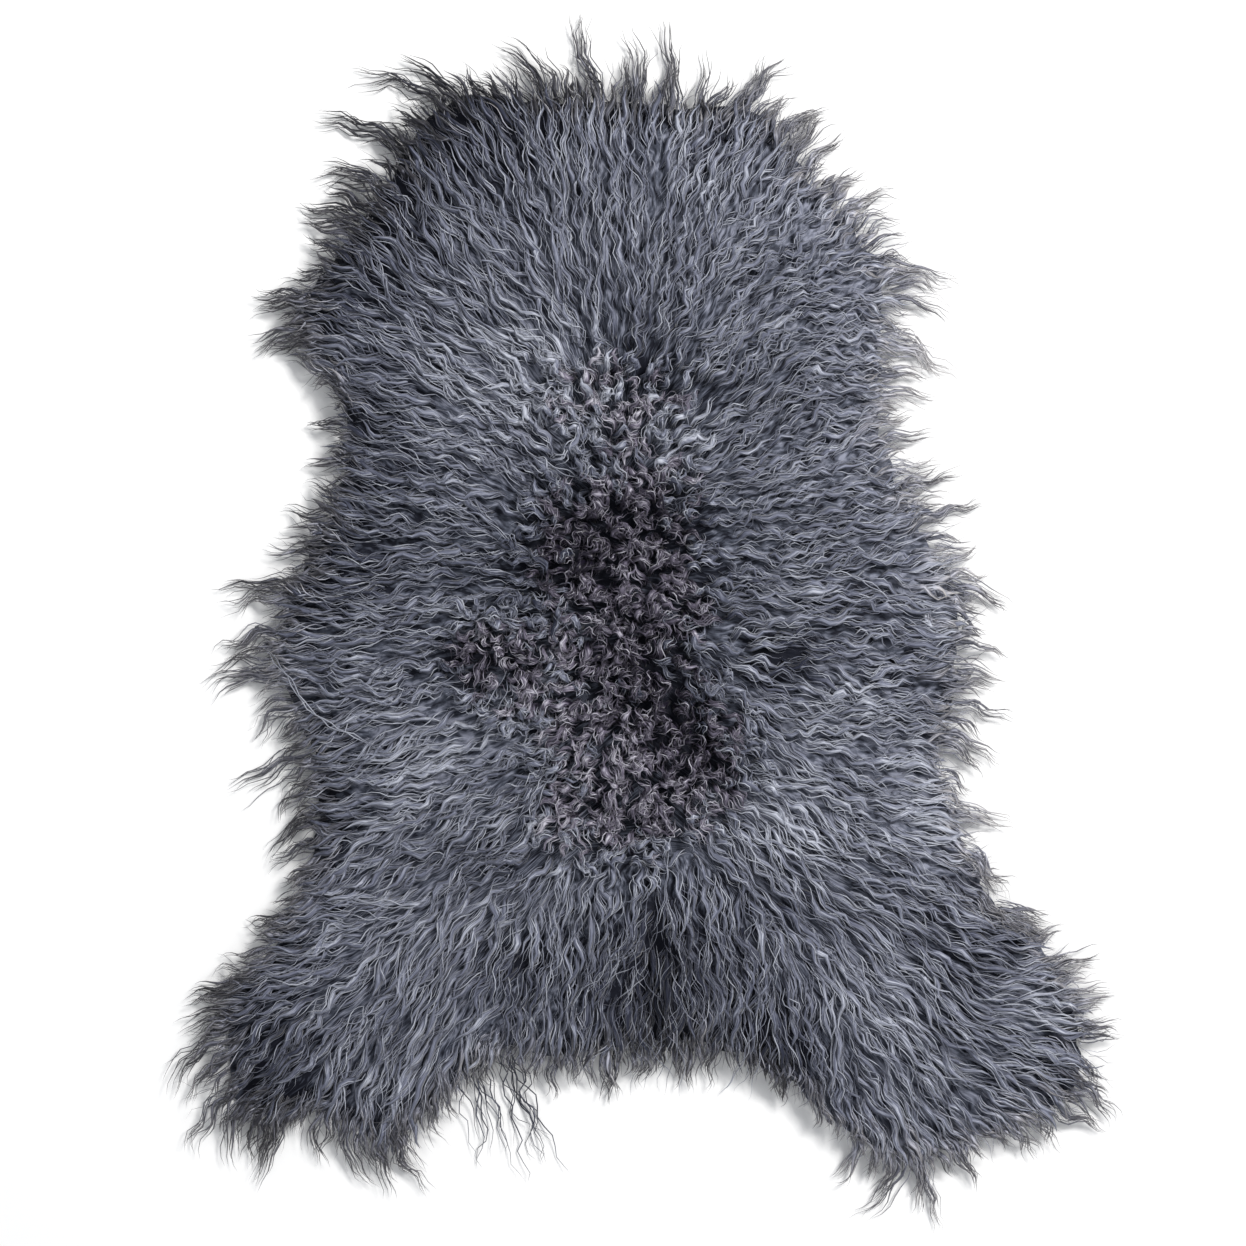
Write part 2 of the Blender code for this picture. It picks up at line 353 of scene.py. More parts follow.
def meshed(name: str, work: bmesh.types.BMesh) -> bpy.types.Object:
    """Turns a finished bmesh into an object of the scene.

    Args:
        name: Name of the object and of its mesh.
        work: The bmesh, which is freed.

    Returns:
        The new object.
    """
    mesh = bpy.data.meshes.new(name)
    work.to_mesh(mesh)
    work.free()
    log.info("%s: %d faces", name, len(mesh.polygons))
    return linked(name, mesh)


def patches_at(patches: tuple[Patch, ...], places: np.ndarray) -> np.ndarray:
    """Adds up what soft patches give at some places.

    Args:
        patches: The patches.
        places: Points (x, y) in metres, in the last axis.

    Returns:
        One number for each place.
    """
    total = np.zeros(places.shape[:-1])
    for patch in patches:
        across = (places[..., 0] - patch.x * MM) / (patch.across * MM)
        along = (places[..., 1] - patch.y * MM) / (patch.along * MM)
        total += patch.strength * np.exp(-(across**2 + along**2))
    return total


@dataclass
class SoftNoise:
    """Smooth seeded noise between -1 and 1 over the floor, with swells of one width in metres."""

    seed: int
    size: float
    lattice: int = 64

    def __post_init__(self) -> None:
        """Draws the lattice."""
        self.values = np.random.default_rng(self.seed).uniform(-1, 1, (self.lattice, self.lattice))

    def at(self, places: np.ndarray) -> np.ndarray:
        """Reads the noise.

        Args:
            places: Points (x, y), in the last axis.

        Returns:
            One number for each place.
        """
        scaled = places / self.size + self.lattice / 2
        corner = np.floor(scaled).astype(int)
        step = smooth(scaled - corner)
        left, low = corner[..., 0] % self.lattice, corner[..., 1] % self.lattice
        right, high = (left + 1) % self.lattice, (low + 1) % self.lattice
        near = self.values[left, low] * (1 - step[..., 0]) + self.values[right, low] * step[..., 0]
        far = self.values[left, high] * (1 - step[..., 0]) + self.values[right, high] * step[..., 0]
        return near * (1 - step[..., 1]) + far * step[..., 1]


@dataclass
class Pelt:
    """The hide's cut edge, and the lines along which its wool is combed from the back line."""

    columns: int = 480
    steps: int = 24
    edge_span: int = 8
    back_front: tuple[float, float] = (-0.020, 0.165)
    back_rear: tuple[float, float] = (0.002, -0.225)
    crowding: float = 0.45
    rump_from: float = 0.87
    rump_over: float = 0.11
    rump_spread: float = 0.55
    turn: float = 0.55
    bend: float = 0.42
    evening_passes: int = 380
    reach_points: int = 21

    def __post_init__(self) -> None:
        """Works out the edge, the roots of the comb lines and the points that they bend towards."""
        halves = (self._edge(0, HEM_MIDDLE), self._edge(HEM_MIDDLE, len(STATIONS)))
        stretch = np.concatenate([self._spaced(half) for half in halves])
        self.edge = stretch[:, :2]
        self.lock = stretch[:, 2]
        ahead, behind = (np.roll(self.edge, shift, axis=0) for shift in (-self.edge_span, self.edge_span))
        along = (ahead - behind) / np.linalg.norm(ahead - behind, axis=1, keepdims=True)
        self.outward = np.stack((-along[:, 1], along[:, 0]), axis=1)
        self.back, self.roots = self._back_points()
        self.bends = self._bend_points()

    def _edge(self, first: int, last: int) -> np.ndarray:
        """Runs a smooth curve through some of the stations.

        Args:
            first: Number of the first station.
            last: Number of the last one.

        Returns:
            Rows of x, y and the longest lock, in metres.
        """
        table = np.array([(station.x, station.y, station.lock) for station in STATIONS]) * MM
        step = (np.arange(self.steps) / self.steps)[:, None]
        stretches = []
        for row in range(first, last):
            before, start, end, after = (table[(row + shift) % len(table)] for shift in (-1, 0, 1, 2))
            square = (2 * before - 5 * start + 4 * end - after) * step**2
            cube = (3 * start - before - 3 * end + after) * step**3
            stretches.append(0.5 * (2 * start + (end - before) * step + square + cube))
        return np.concatenate((*stretches, table[last % len(table)][None, :]))

    def _spaced(self, points: np.ndarray) -> np.ndarray:
        """Sets half the pelt's columns at even steps along a curve.

        Args:
            points: Rows of the curve.

        Returns:
            The rows at those steps, without the curve's last point.
        """
        steps = np.linalg.norm(np.diff(points[:, :2], axis=0), axis=1)
        walked = np.concatenate(([0.0], np.cumsum(steps)))
        stops = walked[-1] * np.arange(self.columns // 2) / (self.columns // 2)
        return np.stack([np.interp(stops, walked, points[:, axis]) for axis in range(3)], axis=1)

    def _back_points(self) -> tuple[np.ndarray, np.ndarray]:
        """Sets the comb lines out along the back line.

        Returns:
            Points on the back line, and where each comb line starts: beside it, over the rump.
        """
        index = np.arange(self.columns)
        share = np.minimum(index, self.columns - index) / (self.columns / 2)
        share = share - self.crowding * np.sin(2 * math.pi * share) / (2 * math.pi)
        front, rear = np.array(self.back_front), np.array(self.back_rear)
        line = front + (rear - front) * share[:, None]
        aside = self.rump_spread * self.edge[:, 0] * smooth((share - self.rump_from) / self.rump_over)
        return line, line + np.stack((aside, np.zeros(self.columns)), axis=1)

    def _bend_points(self) -> np.ndarray:
        """Finds the point that each comb line bends towards.

        Returns:
            The points, evened out so that no two lines meet.
        """
        line = self.edge - self.roots
        reach = np.linalg.norm(line, axis=1, keepdims=True)
        arrival = self.outward * (1 - self.turn) + line / reach * self.turn
        arrival /= np.linalg.norm(arrival, axis=1, keepdims=True)
        bends = self.edge - arrival * reach * self.bend
        for _ in range(self.evening_passes):
            bends = (np.roll(bends, 1, axis=0) + bends * 2 + np.roll(bends, -1, axis=0)) / 4
        return bends

    def comb_lines(self, shares: np.ndarray) -> tuple[np.ndarray, np.ndarray]:
        """Points and headings on every comb line.

        Args:
            shares: Shares of the way from the back line to the edge, the same for every column
                or, with a first axis of columns, each column's own.

        Returns:
            Points and unit headings, each of shape (columns, shares, 2).
        """
        step = np.broadcast_to(shares, (self.columns, shares.shape[-1]))[..., None]
        start, bend, end = (points[:, None, :] for points in (self.roots, self.bends, self.edge))
        points = (1 - step) ** 2 * start + 2 * step * (1 - step) * bend + step**2 * end
        headings = (1 - step) * (bend - start) + step * (end - bend)
        headings = headings / np.linalg.norm(headings, axis=2, keepdims=True)
        return points, headings

    def reaches(self) -> np.ndarray:
        """Length of every comb line, from the back line to the edge."""
        points, _ = self.comb_lines(np.linspace(0, 1, self.reach_points))
        return np.linalg.norm(np.diff(points, axis=1), axis=2).sum(axis=1)


@dataclass
class Comb:
    """The comb direction, the share of the way to the edge and the distance past it, anywhere."""

    pelt: Pelt
    cell: float = 0.005
    half: tuple[float, float] = (0.56, 0.66)
    beyond: float = 0.11
    fan: float = 0.80
    first_share: float = 0.01
    line_points: int = 110
    evening_passes: int = 6
    least_weight: float = 0.02
    whorl_pull: float = 2.5

    def __post_init__(self) -> None:
        """Lays the comb lines out on a grid of the floor, and fans them out past the edge."""
        shares = np.linspace(self.first_share, 1.0, self.line_points)
        points, headings = self.pelt.comb_lines(shares)
        rows = [self._rows(points, headings, shares, -(1 - shares) * self.pelt.reaches()[:, None])]
        fan = headings[:, -1:] + self.fan * self.pelt.outward[:, None, :]
        fan /= np.linalg.norm(fan, axis=2, keepdims=True)
        for past in np.arange(self.cell / 2, self.beyond, self.cell / 2):
            end = points[:, -1:] + fan * past
            rows.append(self._rows(end, fan, np.ones(1), np.full((len(end), 1), past)))
        self.grid = self._spread(np.concatenate(rows))

    def _rows(
        self, points: np.ndarray, headings: np.ndarray, shares: np.ndarray, past: np.ndarray
    ) -> np.ndarray:
        """Rows of x, y, heading x, heading y, share and distance past the edge."""
        shares = np.broadcast_to(shares, past.shape)
        return np.concatenate((points, headings, shares[..., None], past[..., None]), axis=2).reshape(-1, 6)

    def _spread(self, rows: np.ndarray) -> np.ndarray:
        """Averages the rows in each cell, and fills and evens the cells from their neighbours.

        Args:
            rows: What _rows gives.

        Returns:
            A grid of heading x, heading y, share and distance past the edge.
        """
        half = np.array(self.half)
        size = np.ceil(2 * half / self.cell).astype(int)
        cells = np.clip(((rows[:, :2] + half) / self.cell).astype(int), 0, size - 1)
        total = np.zeros((*size, 5))
        values = np.concatenate((rows[:, 2:], np.ones((len(rows), 1))), axis=1)
        np.add.at(total, (cells[:, 0], cells[:, 1]), values)
        known = total[..., 4:] > 0
        total = np.where(known, total / np.maximum(total[..., 4:], 1), 0)
        for _ in range(self.evening_passes):
            for axis in (0, 1):
                total = (np.roll(total, 1, axis) + 2 * total + np.roll(total, -1, axis)) / 4
        found = total[..., :4] / np.maximum(total[..., 4:], TINY)
        found[total[..., 4] < self.least_weight, 3] = 2 * self.beyond
        return found

    def _read(self, places: np.ndarray) -> np.ndarray:
        """Reads the grid between its cells.

        Args:
            places: Points (x, y), in the last axis.

        Returns:
            Heading x, heading y, share and distance past the edge, in the last axis.
        """
        scaled = (places + np.array(self.half)) / self.cell - 0.5
        limit = np.array(self.grid.shape[:2]) - 2
        corner = np.clip(np.floor(scaled).astype(int), 0, limit)
        step = np.clip(scaled - corner, 0, 1)
        x, y = corner[..., 0], corner[..., 1]
        right, up = step[..., :1], step[..., 1:]
        low = self.grid[x, y] * (1 - right) + self.grid[x + 1, y] * right
        high = self.grid[x, y + 1] * (1 - right) + self.grid[x + 1, y + 1] * right
        return low * (1 - up) + high * up

    def heading(self, places: np.ndarray) -> np.ndarray:
        """Finds the comb direction, which points away from a whorl near it.

        Args:
            places: Points (x, y), in the last axis.

        Returns:
            A unit direction for each place.
        """
        found = self._read(places)[..., :2]
        for whorl in WHORLS:
            away = places - np.array((whorl.x, whorl.y)) * MM
            near = patches_at((whorl,), places)[..., None]
            found = found + self.whorl_pull * away / (whorl.across * MM) * near
        return found / np.maximum(np.linalg.norm(found, axis=-1, keepdims=True), 1e-6)

    def share(self, places: np.ndarray) -> np.ndarray:
        """Share of the way from the back line to the edge."""
        return self._read(places)[..., 2]

    def past(self, places: np.ndarray) -> np.ndarray:
        """Distance past the edge along the comb, negative on the hide."""
        return self._read(places)[..., 3]


@dataclass
class Fleece:
    """What varies over the fleece: its height, its curliness and its tone."""

    comb: Comb
    lump_size: float = 0.060
    mottle_size: float = 0.045
    fine_mottle_size: float = 0.016
    drift_size: float = 0.055
    fine_drift_size: float = 0.022
    fade_share: float = 0.25
    curl_mottling: float = 0.14
    curl_from: float = 0.14
    curl_over: float = 0.74
    crimp_mottling: float = 0.25
    crimp_shift: float = 0.3
    base_tone: float = 0.58
    tone_mottling: float = 0.07
    edge_shade: float = 0.12
    edge_depth: float = 0.090
    edge_blend: float = 0.6
    shaded_from: float = 0.2
    deepest_gloom: float = 0.5

    def __post_init__(self) -> None:
        """Draws the soft noises."""
        self.lumps = SoftNoise(seed=3, size=self.lump_size)
        self.mottle = SoftNoise(seed=5, size=self.mottle_size)
        self.fine_mottle = SoftNoise(seed=6, size=self.fine_mottle_size)
        self.drift = SoftNoise(seed=7, size=self.drift_size)
        self.fine_drift = SoftNoise(seed=8, size=self.fine_drift_size)

    def height(self, places: np.ndarray) -> np.ndarray:
        """Finds the height of the fleece's surface over the floor.

        Args:
            places: Points (x, y), in the last axis.

        Returns:
            The height at each place.
        """
        share = self.comb.share(places)
        beyond = np.maximum(self.comb.past(places), 0)
        fade = np.clip((1 - share) / self.fade_share, 0, 1)
        crown = np.interp(share, CROWN_SHARES, CROWN_HEIGHTS)
        crown = crown + LUMP_HEIGHT * fade * self.lumps.at(places) - self._parting(places) * fade
        crown = crown - WHORL_DEPTH * patches_at(WHORLS, places) ** 2
        return RIM_REST + (crown - RIM_REST) * np.exp(-beyond / RIM_FALL)

    def _parting(self, places: np.ndarray) -> np.ndarray:
        """Finds how far the wool dips into the parting at the hem.

        Args:
            places: Points (x, y), in the last axis.

        Returns:
            The dip at each place.
        """
        start, end = np.array(PARTING_START), np.array(PARTING_END)
        line = end - start
        along = np.clip((places - start) @ line / (line @ line), 0, 1)
        away = np.linalg.norm(places - start - along[..., None] * line, axis=-1)
        return PARTING_DEPTH * np.exp(-((away / PARTING_WIDTH) ** 2))

    def curl(self, places: np.ndarray) -> np.ndarray:
        """0 where the wool lies combed, 1 where it stands up in curls."""
        found = patches_at(CURLY_PATCHES, places) + self.curl_mottling * self.mottle.at(places)
        return smooth((found - self.curl_from) / self.curl_over)

    def crimp(self, places: np.ndarray) -> np.ndarray:
        """0 where the combed wool waves loosely, 1 where it is crimped."""
        mottling = self.crimp_mottling * self.lumps.at(places + self.crimp_shift)
        return np.clip(patches_at(CRIMPED_PATCHES, places) + mottling, 0, 1)

    def tone(self, places: np.ndarray) -> np.ndarray:
        """Tone of the wool, from 0, dark, to 1, pale, with the painted light and shade of patchy in it."""
        found = self.base_tone + self.patchy(places) + self.tone_mottling * self.mottle.at(places)
        return found + self.tone_mottling * self.fine_mottle.at(places)

    def patchy(self, places: np.ndarray) -> np.ndarray:
        """Finds how much paler the wool is than elsewhere, with painted light and shade from the patches and
        painted shade along its left edge, away from the light.

        Args:
            places: Points (x, y), in the last axis.

        Returns:
            What is added to the tone at each place.
        """
        near = smooth((self.comb.past(places) + self.edge_depth) / (self.edge_blend * self.edge_depth))
        left = np.clip(-places[..., 0] / self.shaded_from, 0, 1)
        return patches_at(TONE_AND_SHADING_PATCHES, places) - self.edge_shade * near * left

    def gloom(self, places: np.ndarray) -> np.ndarray:
        """How deep the shade between the strands is, where the wool is darker than elsewhere."""
        return np.clip(-self.patchy(places), 0, self.deepest_gloom)

    def fuller(self, places: np.ndarray) -> np.ndarray:
        """How much farther than elsewhere the wool reaches past the edge."""
        return patches_at(FULLER_EDGES, places) * MM


@dataclass(frozen=True)
class Section:
    """Cross-section of a strand: its corners across and up, in widths, and the tone of each, which spreads
    the fibres across the strand and paints light on top and shade at the sides and below.
    """

    across: tuple[float, ...]
    up: tuple[float, ...]
    shade: tuple[float, ...]


class Profile(Enum):
    """The cross-sections in use, with corners anticlockwise seen from the tip."""

    # Each corner's tone paints light on the top corners and shade at the edges and underneath.
    HAIR = Section((0.50, 0.0, -0.50), (-0.28, 0.55, -0.28), (-0.020, 0.020, -0.008))
    LOCK = Section(
        (0.50, 0.10, -0.50, 0.0),
        (-0.06, 0.20, -0.07, -0.18),
        (-0.090, 0.030, -0.080, -0.110),
    )
    CURL = Section(
        (0.50, 0.24, -0.22, -0.50, 0.0),
        (-0.06, 0.34, 0.30, -0.10, -0.32),
        (-0.040, 0.020, 0.035, -0.030, -0.050),
    )


@dataclass
class Growth:
    """Habits of a batch of strands, one number each or one for all, in metres and radians."""

    roots: np.ndarray
    length: Habit
    width: Habit
    tone: Habit
    swing: Habit
    wave_length: Habit
    phase: Habit
    offset: Habit = 0.0
    gather: Habit = 0.0
    lean: Habit = 0.0
    lift: Habit = 0.0
    bury: Habit = 0.0
    arch: Habit = 0.0
    rise: Habit = 0.0
    twist: Habit = 0.0
    bend: Habit = 0.0

    def __post_init__(self) -> None:
        """Gives every strand a number of its own."""
        for name, value in vars(self).items():
            if name != "roots":
                setattr(self, name, np.broadcast_to(value, len(self.roots)).astype(float))

    def __len__(self) -> int:
        """Number of strands."""
        return len(self.roots)

    def pick(self, chosen: np.ndarray) -> "Growth":
        """The strands that a mask chooses."""
        return Growth(**{name: value[chosen] for name, value in vars(self).items()})


@dataclass
class Loft:
    """Turns batches of strands into joined meshes of closed, tapered tubes."""

    fleece: Fleece
    profile: Profile
    rings: int
    root_width: float = 0.55
    tip_width: float = 0.14
    swollen_from: float = 0.3
    taper_from: float = 0.40
    drift: float = 0.26
    fine_drift: float = 0.24
    second_swing: float = 0.35
    second_wave: float = 0.61
    heave: float = 0.70
    gather_power: float = 1.3
    arch_power: float = 0.8
    surface_share: float = 0.45
    rest_width: float = 0.45
    rest_gap: float = 0.3 * MM
    map_margin: float = 0.01

    def _shares(self) -> np.ndarray:
        """Shares of a strand's length at which its rings stand."""
        return np.linspace(0, 1, self.rings)

    def _paths(self, growth: Growth) -> tuple[np.ndarray, np.ndarray, np.ndarray]:
        """Walks every strand along the comb, turning from side to side as it waves.

        Args:
            growth: The strands.

        Returns:
            Points and comb headings of shape (strands, rings, 2), and the phase of the wave.
        """
        step = growth.length / (self.rings - 1)
        places = growth.roots
        points, headings, phases = [], [], []
        for ring in range(self.rings):
            drift = self.drift * self.fleece.drift.at(places)
            drift = drift + self.fine_drift * self.fleece.fine_drift.at(places)
            lean = growth.lean + growth.bend * ring / (self.rings - 1) + drift
            heading = turned(self.fleece.comb.heading(places), lean)
            phase = growth.phase + 2 * math.pi * step * ring / growth.wave_length
            points.append(places)
            headings.append(heading)
            phases.append(phase)
            middle = phase + math.pi * step / growth.wave_length
            second = self.second_swing * np.cos(self.second_wave * middle + 2 * growth.phase)
            swing = growth.swing * (np.cos(middle) + second)
            places = places + turned(heading, swing) * step[:, None]
        return np.stack(points, axis=1), np.stack(headings, axis=1), np.stack(phases, axis=1)

    def _centre_lines(self, growth: Growth) -> np.ndarray:
        """Lays the strands on the fleece.

        Args:
            growth: The strands.

        Returns:
            Points of shape (strands, rings, 3) down the middle of each strand.
        """
        share = self._shares()
        points, headings, phases = self._paths(growth)
        side = np.stack((-headings[..., 1], headings[..., 0]), axis=2)
        aside = growth.offset[:, None] * (1 - growth.gather[:, None] * share**self.gather_power)
        flat = points + side * aside[..., None]
        amplitude = growth.swing * growth.wave_length / (2 * math.pi)
        height = self.fleece.height(flat)
        height -= growth.bury[:, None] * (1 - smooth(share / self.surface_share))
        height += growth.lift[:, None] + growth.rise[:, None] * share**2
        height += growth.arch[:, None] * np.sin(math.pi * share**self.arch_power)
        height += self.heave * amplitude[:, None] * np.sin(phases)
        height = np.minimum(height, CEILING)
        height = np.maximum(height, self.rest_width * growth.width[:, None] + self.rest_gap)
        return np.concatenate((flat, height[..., None]), axis=2)

    def _corners(self, growth: Growth) -> np.ndarray:
        """Sets a ring of corners round each point of the strands.

        Args:
            growth: The strands.

        Returns:
            Corner points of shape (strands, rings, corners, 3).
        """
        section = self.profile.value
        lines = self._centre_lines(growth)
        forward = np.gradient(lines, axis=1)
        forward /= np.maximum(np.linalg.norm(forward, axis=2, keepdims=True), TINY)
        side = np.cross(forward, (0.0, 0.0, 1.0))
        side /= np.maximum(np.linalg.norm(side, axis=2, keepdims=True), TINY)
        up = np.cross(side, forward)
        share = self._shares()
        angle = growth.twist[:, None] * np.sin(2 * math.pi * share + growth.phase[:, None])
        cosine, sine = np.cos(angle)[..., None], np.sin(angle)[..., None]
        side, up = side * cosine + up * sine, up * cosine - side * sine
        swell = self.root_width + (1 - self.root_width) * smooth(share / self.swollen_from)
        taper = 1 - (1 - self.tip_width) * smooth((share - self.taper_from) / (1 - self.taper_from))
        wide = (growth.width[:, None] * swell * taper)[..., None, None]
        across = np.array(section.across)[:, None] * side[:, :, None, :]
        rising = np.array(section.up)[:, None] * up[:, :, None, :]
        return lines[:, :, None, :] + (across + rising) * wide

    def _palette(self, growth: Growth) -> np.ndarray:
        """Finds the place of each corner in the finish.

        Args:
            growth: The strands.

        Returns:
            Places along the strand and in tone, of shape (strands, rings, corners, 2).
        """
        low, high = self.map_margin, 1 - self.map_margin
        tone = np.clip(growth.tone[:, None] + np.array(self.profile.value.shade), low, high)
        grid = np.empty((len(growth), self.rings, tone.shape[1], 2))
        grid[..., 0] = np.linspace(low, high, self.rings)[None, :, None]
        grid[..., 1] = tone[:, None, :]
        return grid

    def _closed(self, grid: np.ndarray) -> np.ndarray:
        """Draws each strand's last ring together to one tip.

        Args:
            grid: Values of shape (strands, rings, corners, any).

        Returns:
            The values of each strand in a row, root first.
        """
        tip = grid[:, -1].mean(axis=1, keepdims=True)
        return np.concatenate((grid[:, :-1].reshape(len(grid), -1, grid.shape[3]), tip), axis=1)

    def _faces(self, sides: int) -> tuple[np.ndarray, np.ndarray]:
        """Lists one strand's faces: the cap of its root, its walls and its tip.

        Args:
            sides: Number of corners in a ring.

        Returns:
            The faces' corners in a row, and the size of each face.
        """
        ring = np.arange(sides)
        after = (ring + 1) % sides
        start = (np.arange(self.rings - 2) * sides)[:, None]
        walls = np.stack((start + ring, start + after, start + sides + after, start + sides + ring), axis=2)
        last = (self.rings - 2) * sides
        tips = np.stack((last + ring, last + after, np.full(sides, last + sides)), axis=1)
        corners = np.concatenate((ring[::-1], walls.ravel(), tips.ravel()))
        sizes = np.concatenate(([sides], np.full((self.rings - 2) * sides, 4), np.full(sides, 3)))
        return corners, sizes

    def piece(self, name: str, growth: Growth) -> bpy.types.Object:
        """Makes one piece of all the strands.

        Args:
            name: Name of the piece.
            growth: The strands in it.

        Returns:
            The new object, with its palette map.
        """
        corners = self._corners(growth)
        count, sides = len(growth), corners.shape[2]
        points = self._closed(corners)
        spots = self._closed(self._palette(growth))
        pattern, sizes = self._faces(sides)
        loops = (pattern + np.arange(count)[:, None] * points.shape[1]).ravel()
        starts = np.concatenate(([0], np.cumsum(np.tile(sizes, count))[:-1]))
        mesh = bpy.data.meshes.new(name)
        mesh.vertices.add(count * points.shape[1])
        mesh.vertices.foreach_set("co", points.astype(np.float32).ravel())
        mesh.loops.add(len(loops))
        mesh.loops.foreach_set("vertex_index", loops.astype(np.int32))
        mesh.polygons.add(len(starts))
        mesh.polygons.foreach_set("loop_start", starts.astype(np.int32))
        mesh.polygons.foreach_set("use_smooth", np.ones(len(starts), bool))
        mesh.update(calc_edges=True)
        palette = spots.reshape(-1, 2)[loops].reshape(count, len(pattern), 2)
        # A root's cap would be a bare line on the map, so every other corner of it is moved.
        palette[:, 0:sides:2, 0] = 0.0
        mesh.uv_layers.new(name=PALETTE).data.foreach_set("uv", palette.astype(np.float32).ravel())
        log.info("%s: %d strands, %d triangles", name, count, count * (2 * sides * (self.rings - 1) - 2))
        return linked(name, mesh)


class Signal:
    """A shader socket that can be used in a Python expression."""

    def __init__(self, recipe: "Recipe", socket: bpy.types.NodeSocket) -> None:
        """Wraps a socket of a recipe's node tree."""
        self.recipe = recipe
        self.socket = socket

    def _math(self, operation: str, first: Feed, second: Feed) -> "Signal":
        """Joins two values with a Math node."""
        return self.recipe.signal("ShaderNodeMath", {"operation": operation}, {0: first, 1: second})

    def __add__(self, other: Feed) -> "Signal":
        """This plus a value."""
        return self._math("ADD", self, other)

    __radd__ = __add__

    def __sub__(self, other: Feed) -> "Signal":
        """This less a value."""
        return self._math("SUBTRACT", self, other)

    def __rsub__(self, other: Feed) -> "Signal":
        """A value less this."""
        return self._math("SUBTRACT", other, self)

    def __mul__(self, other: Feed) -> "Signal":
        """This times a value."""
        return self._math("MULTIPLY", self, other)

    __rmul__ = __mul__

    def eased(self, low: float, high: float) -> "Signal":
        """Turns the value into a soft step.

        Args:
            low: Where the step starts.
            high: Where it ends.

        Returns:
            0 below low and 1 above high.
        """
        settings = {"interpolation_type": "SMOOTHSTEP", "clamp": True}
        inputs = {"Value": self, "From Min": low, "From Max": high}
        return self.recipe.signal("ShaderNodeMapRange", settings, inputs)


class Recipe:
    """The node tree of one finish."""

    # A Mix node has sockets of one name for each kind of value. These are those of its colours.
    MIX_SHARE = 0
    MIX_FIRST = 6
    MIX_SECOND = 7
    MIX_RESULT = 2

    def __init__(self, name: str) -> None:
        """Starts a material.

        Args:
            name: Name of the material.
        """
        self.material = bpy.data.materials.new(name)
        self.material.use_nodes = True
        self.tree = self.material.node_tree

    def add(self, kind: str, settings: dict[str, object], inputs: dict[int | str, Feed]) -> bpy.types.Node:
        """Adds a node.

        Args:
            kind: Type of the node.
            settings: Its settings, set first. The stops of a ramp come as "stops".
            inputs: Values or signals of its sockets, by name or number.

        Returns:
            The node.
        """
        node = self.tree.nodes.new(kind)
        for name, value in settings.items():
            if name == "stops":
                self._set_stops(node.color_ramp, value)
            else:
                setattr(node, name, value)
        for name, value in inputs.items():
            self._feed(node.inputs[name], value)
        return node

    def signal(
        self,
        kind: str,
        settings: dict[str, object],
        inputs: dict[int | str, Feed],
        output: int | str = 0,
    ) -> Signal:
        """Adds a node and gives one of its outputs, by name or number."""
        return Signal(self, self.add(kind, settings, inputs).outputs[output])

    def _set_stops(self, ramp: bpy.types.ColorRamp, stops: Stops) -> None:
        """Gives a ramp its stops.

        Args:
            ramp: The ramp.
            stops: A position and a colour for each.
        """
        while len(ramp.elements) < len(stops):
            ramp.elements.new(0.5)
        for element, (position, colour) in zip(ramp.elements, stops):
            element.position = position
            element.color = (*colour, 1.0)

    def _feed(self, socket: bpy.types.NodeSocket, value: Feed) -> None:
        """Sets a socket to a value, or links a signal to it.

        Args:
            socket: The socket.
            value: The value or the signal.
        """
        if isinstance(value, Signal):
            self.tree.links.new(value.socket, socket)
        else:
            socket.default_value = value

    def mapped(self, name: str) -> tuple[Signal, Signal]:
        """Reads one of the piece's maps.

        Args:
            name: Name of the map.

        Returns:
            Its two coordinates.
        """
        spot = self.signal("ShaderNodeUVMap", {"uv_map": name}, {})
        parts = self.add("ShaderNodeSeparateXYZ", {}, {0: spot})
        return Signal(self, parts.outputs[0]), Signal(self, parts.outputs[1])

    def noise(self, across: Signal, along: Signal, detail: float) -> Signal:
        """Makes noise over two coordinates.

        Args:
            across: First coordinate, in swells.
            along: Second coordinate, in swells.
            detail: Octaves of finer noise.

        Returns:
            The noise, between 0 and 1.
        """
        place = self.signal("ShaderNodeCombineXYZ", {}, {0: across, 1: along})
        inputs = {"Vector": place, "Scale": 1.0, "Detail": detail}
        return self.signal("ShaderNodeTexNoise", {"noise_dimensions": "2D"}, inputs)

    def ramp(self, value: Signal, stops: Stops) -> Signal:
        """Colour of a value on a ramp of stops."""
        return self.signal("ShaderNodeValToRGB", {"stops": stops}, {0: value})

    def tinted(self, colour: Signal, share: Signal, tint: Colour) -> Signal:
        """Multiplies a colour by a share of a tint.

        Args:
            colour: The colour.
            share: The share, between 0 and 1.
            tint: The tint.

        Returns:
            The tinted colour.
        """
        settings = {"data_type": "RGBA", "blend_type": "MULTIPLY"}
        inputs = {self.MIX_SHARE: share, self.MIX_FIRST: colour, self.MIX_SECOND: (*tint, 1.0)}
        return self.signal("ShaderNodeMix", settings, inputs, self.MIX_RESULT)

    def bump(self, height: Signal, strength: float, distance: float) -> Signal:
        """Normal of a surface raised by a height."""
        inputs = {"Strength": strength, "Distance": distance, "Height": height}
        return self.signal("ShaderNodeBump", {}, inputs)

    def finish(self, inputs: dict[str, Feed]) -> bpy.types.Material:
        """Feeds the shader.

        Args:
            inputs: Values or signals of its sockets, by name.

        Returns:
            The finished material.
        """
        shader = self.tree.nodes["Principled BSDF"]
        for name, value in inputs.items():
            self._feed(shader.inputs[name], value)
        return self.material


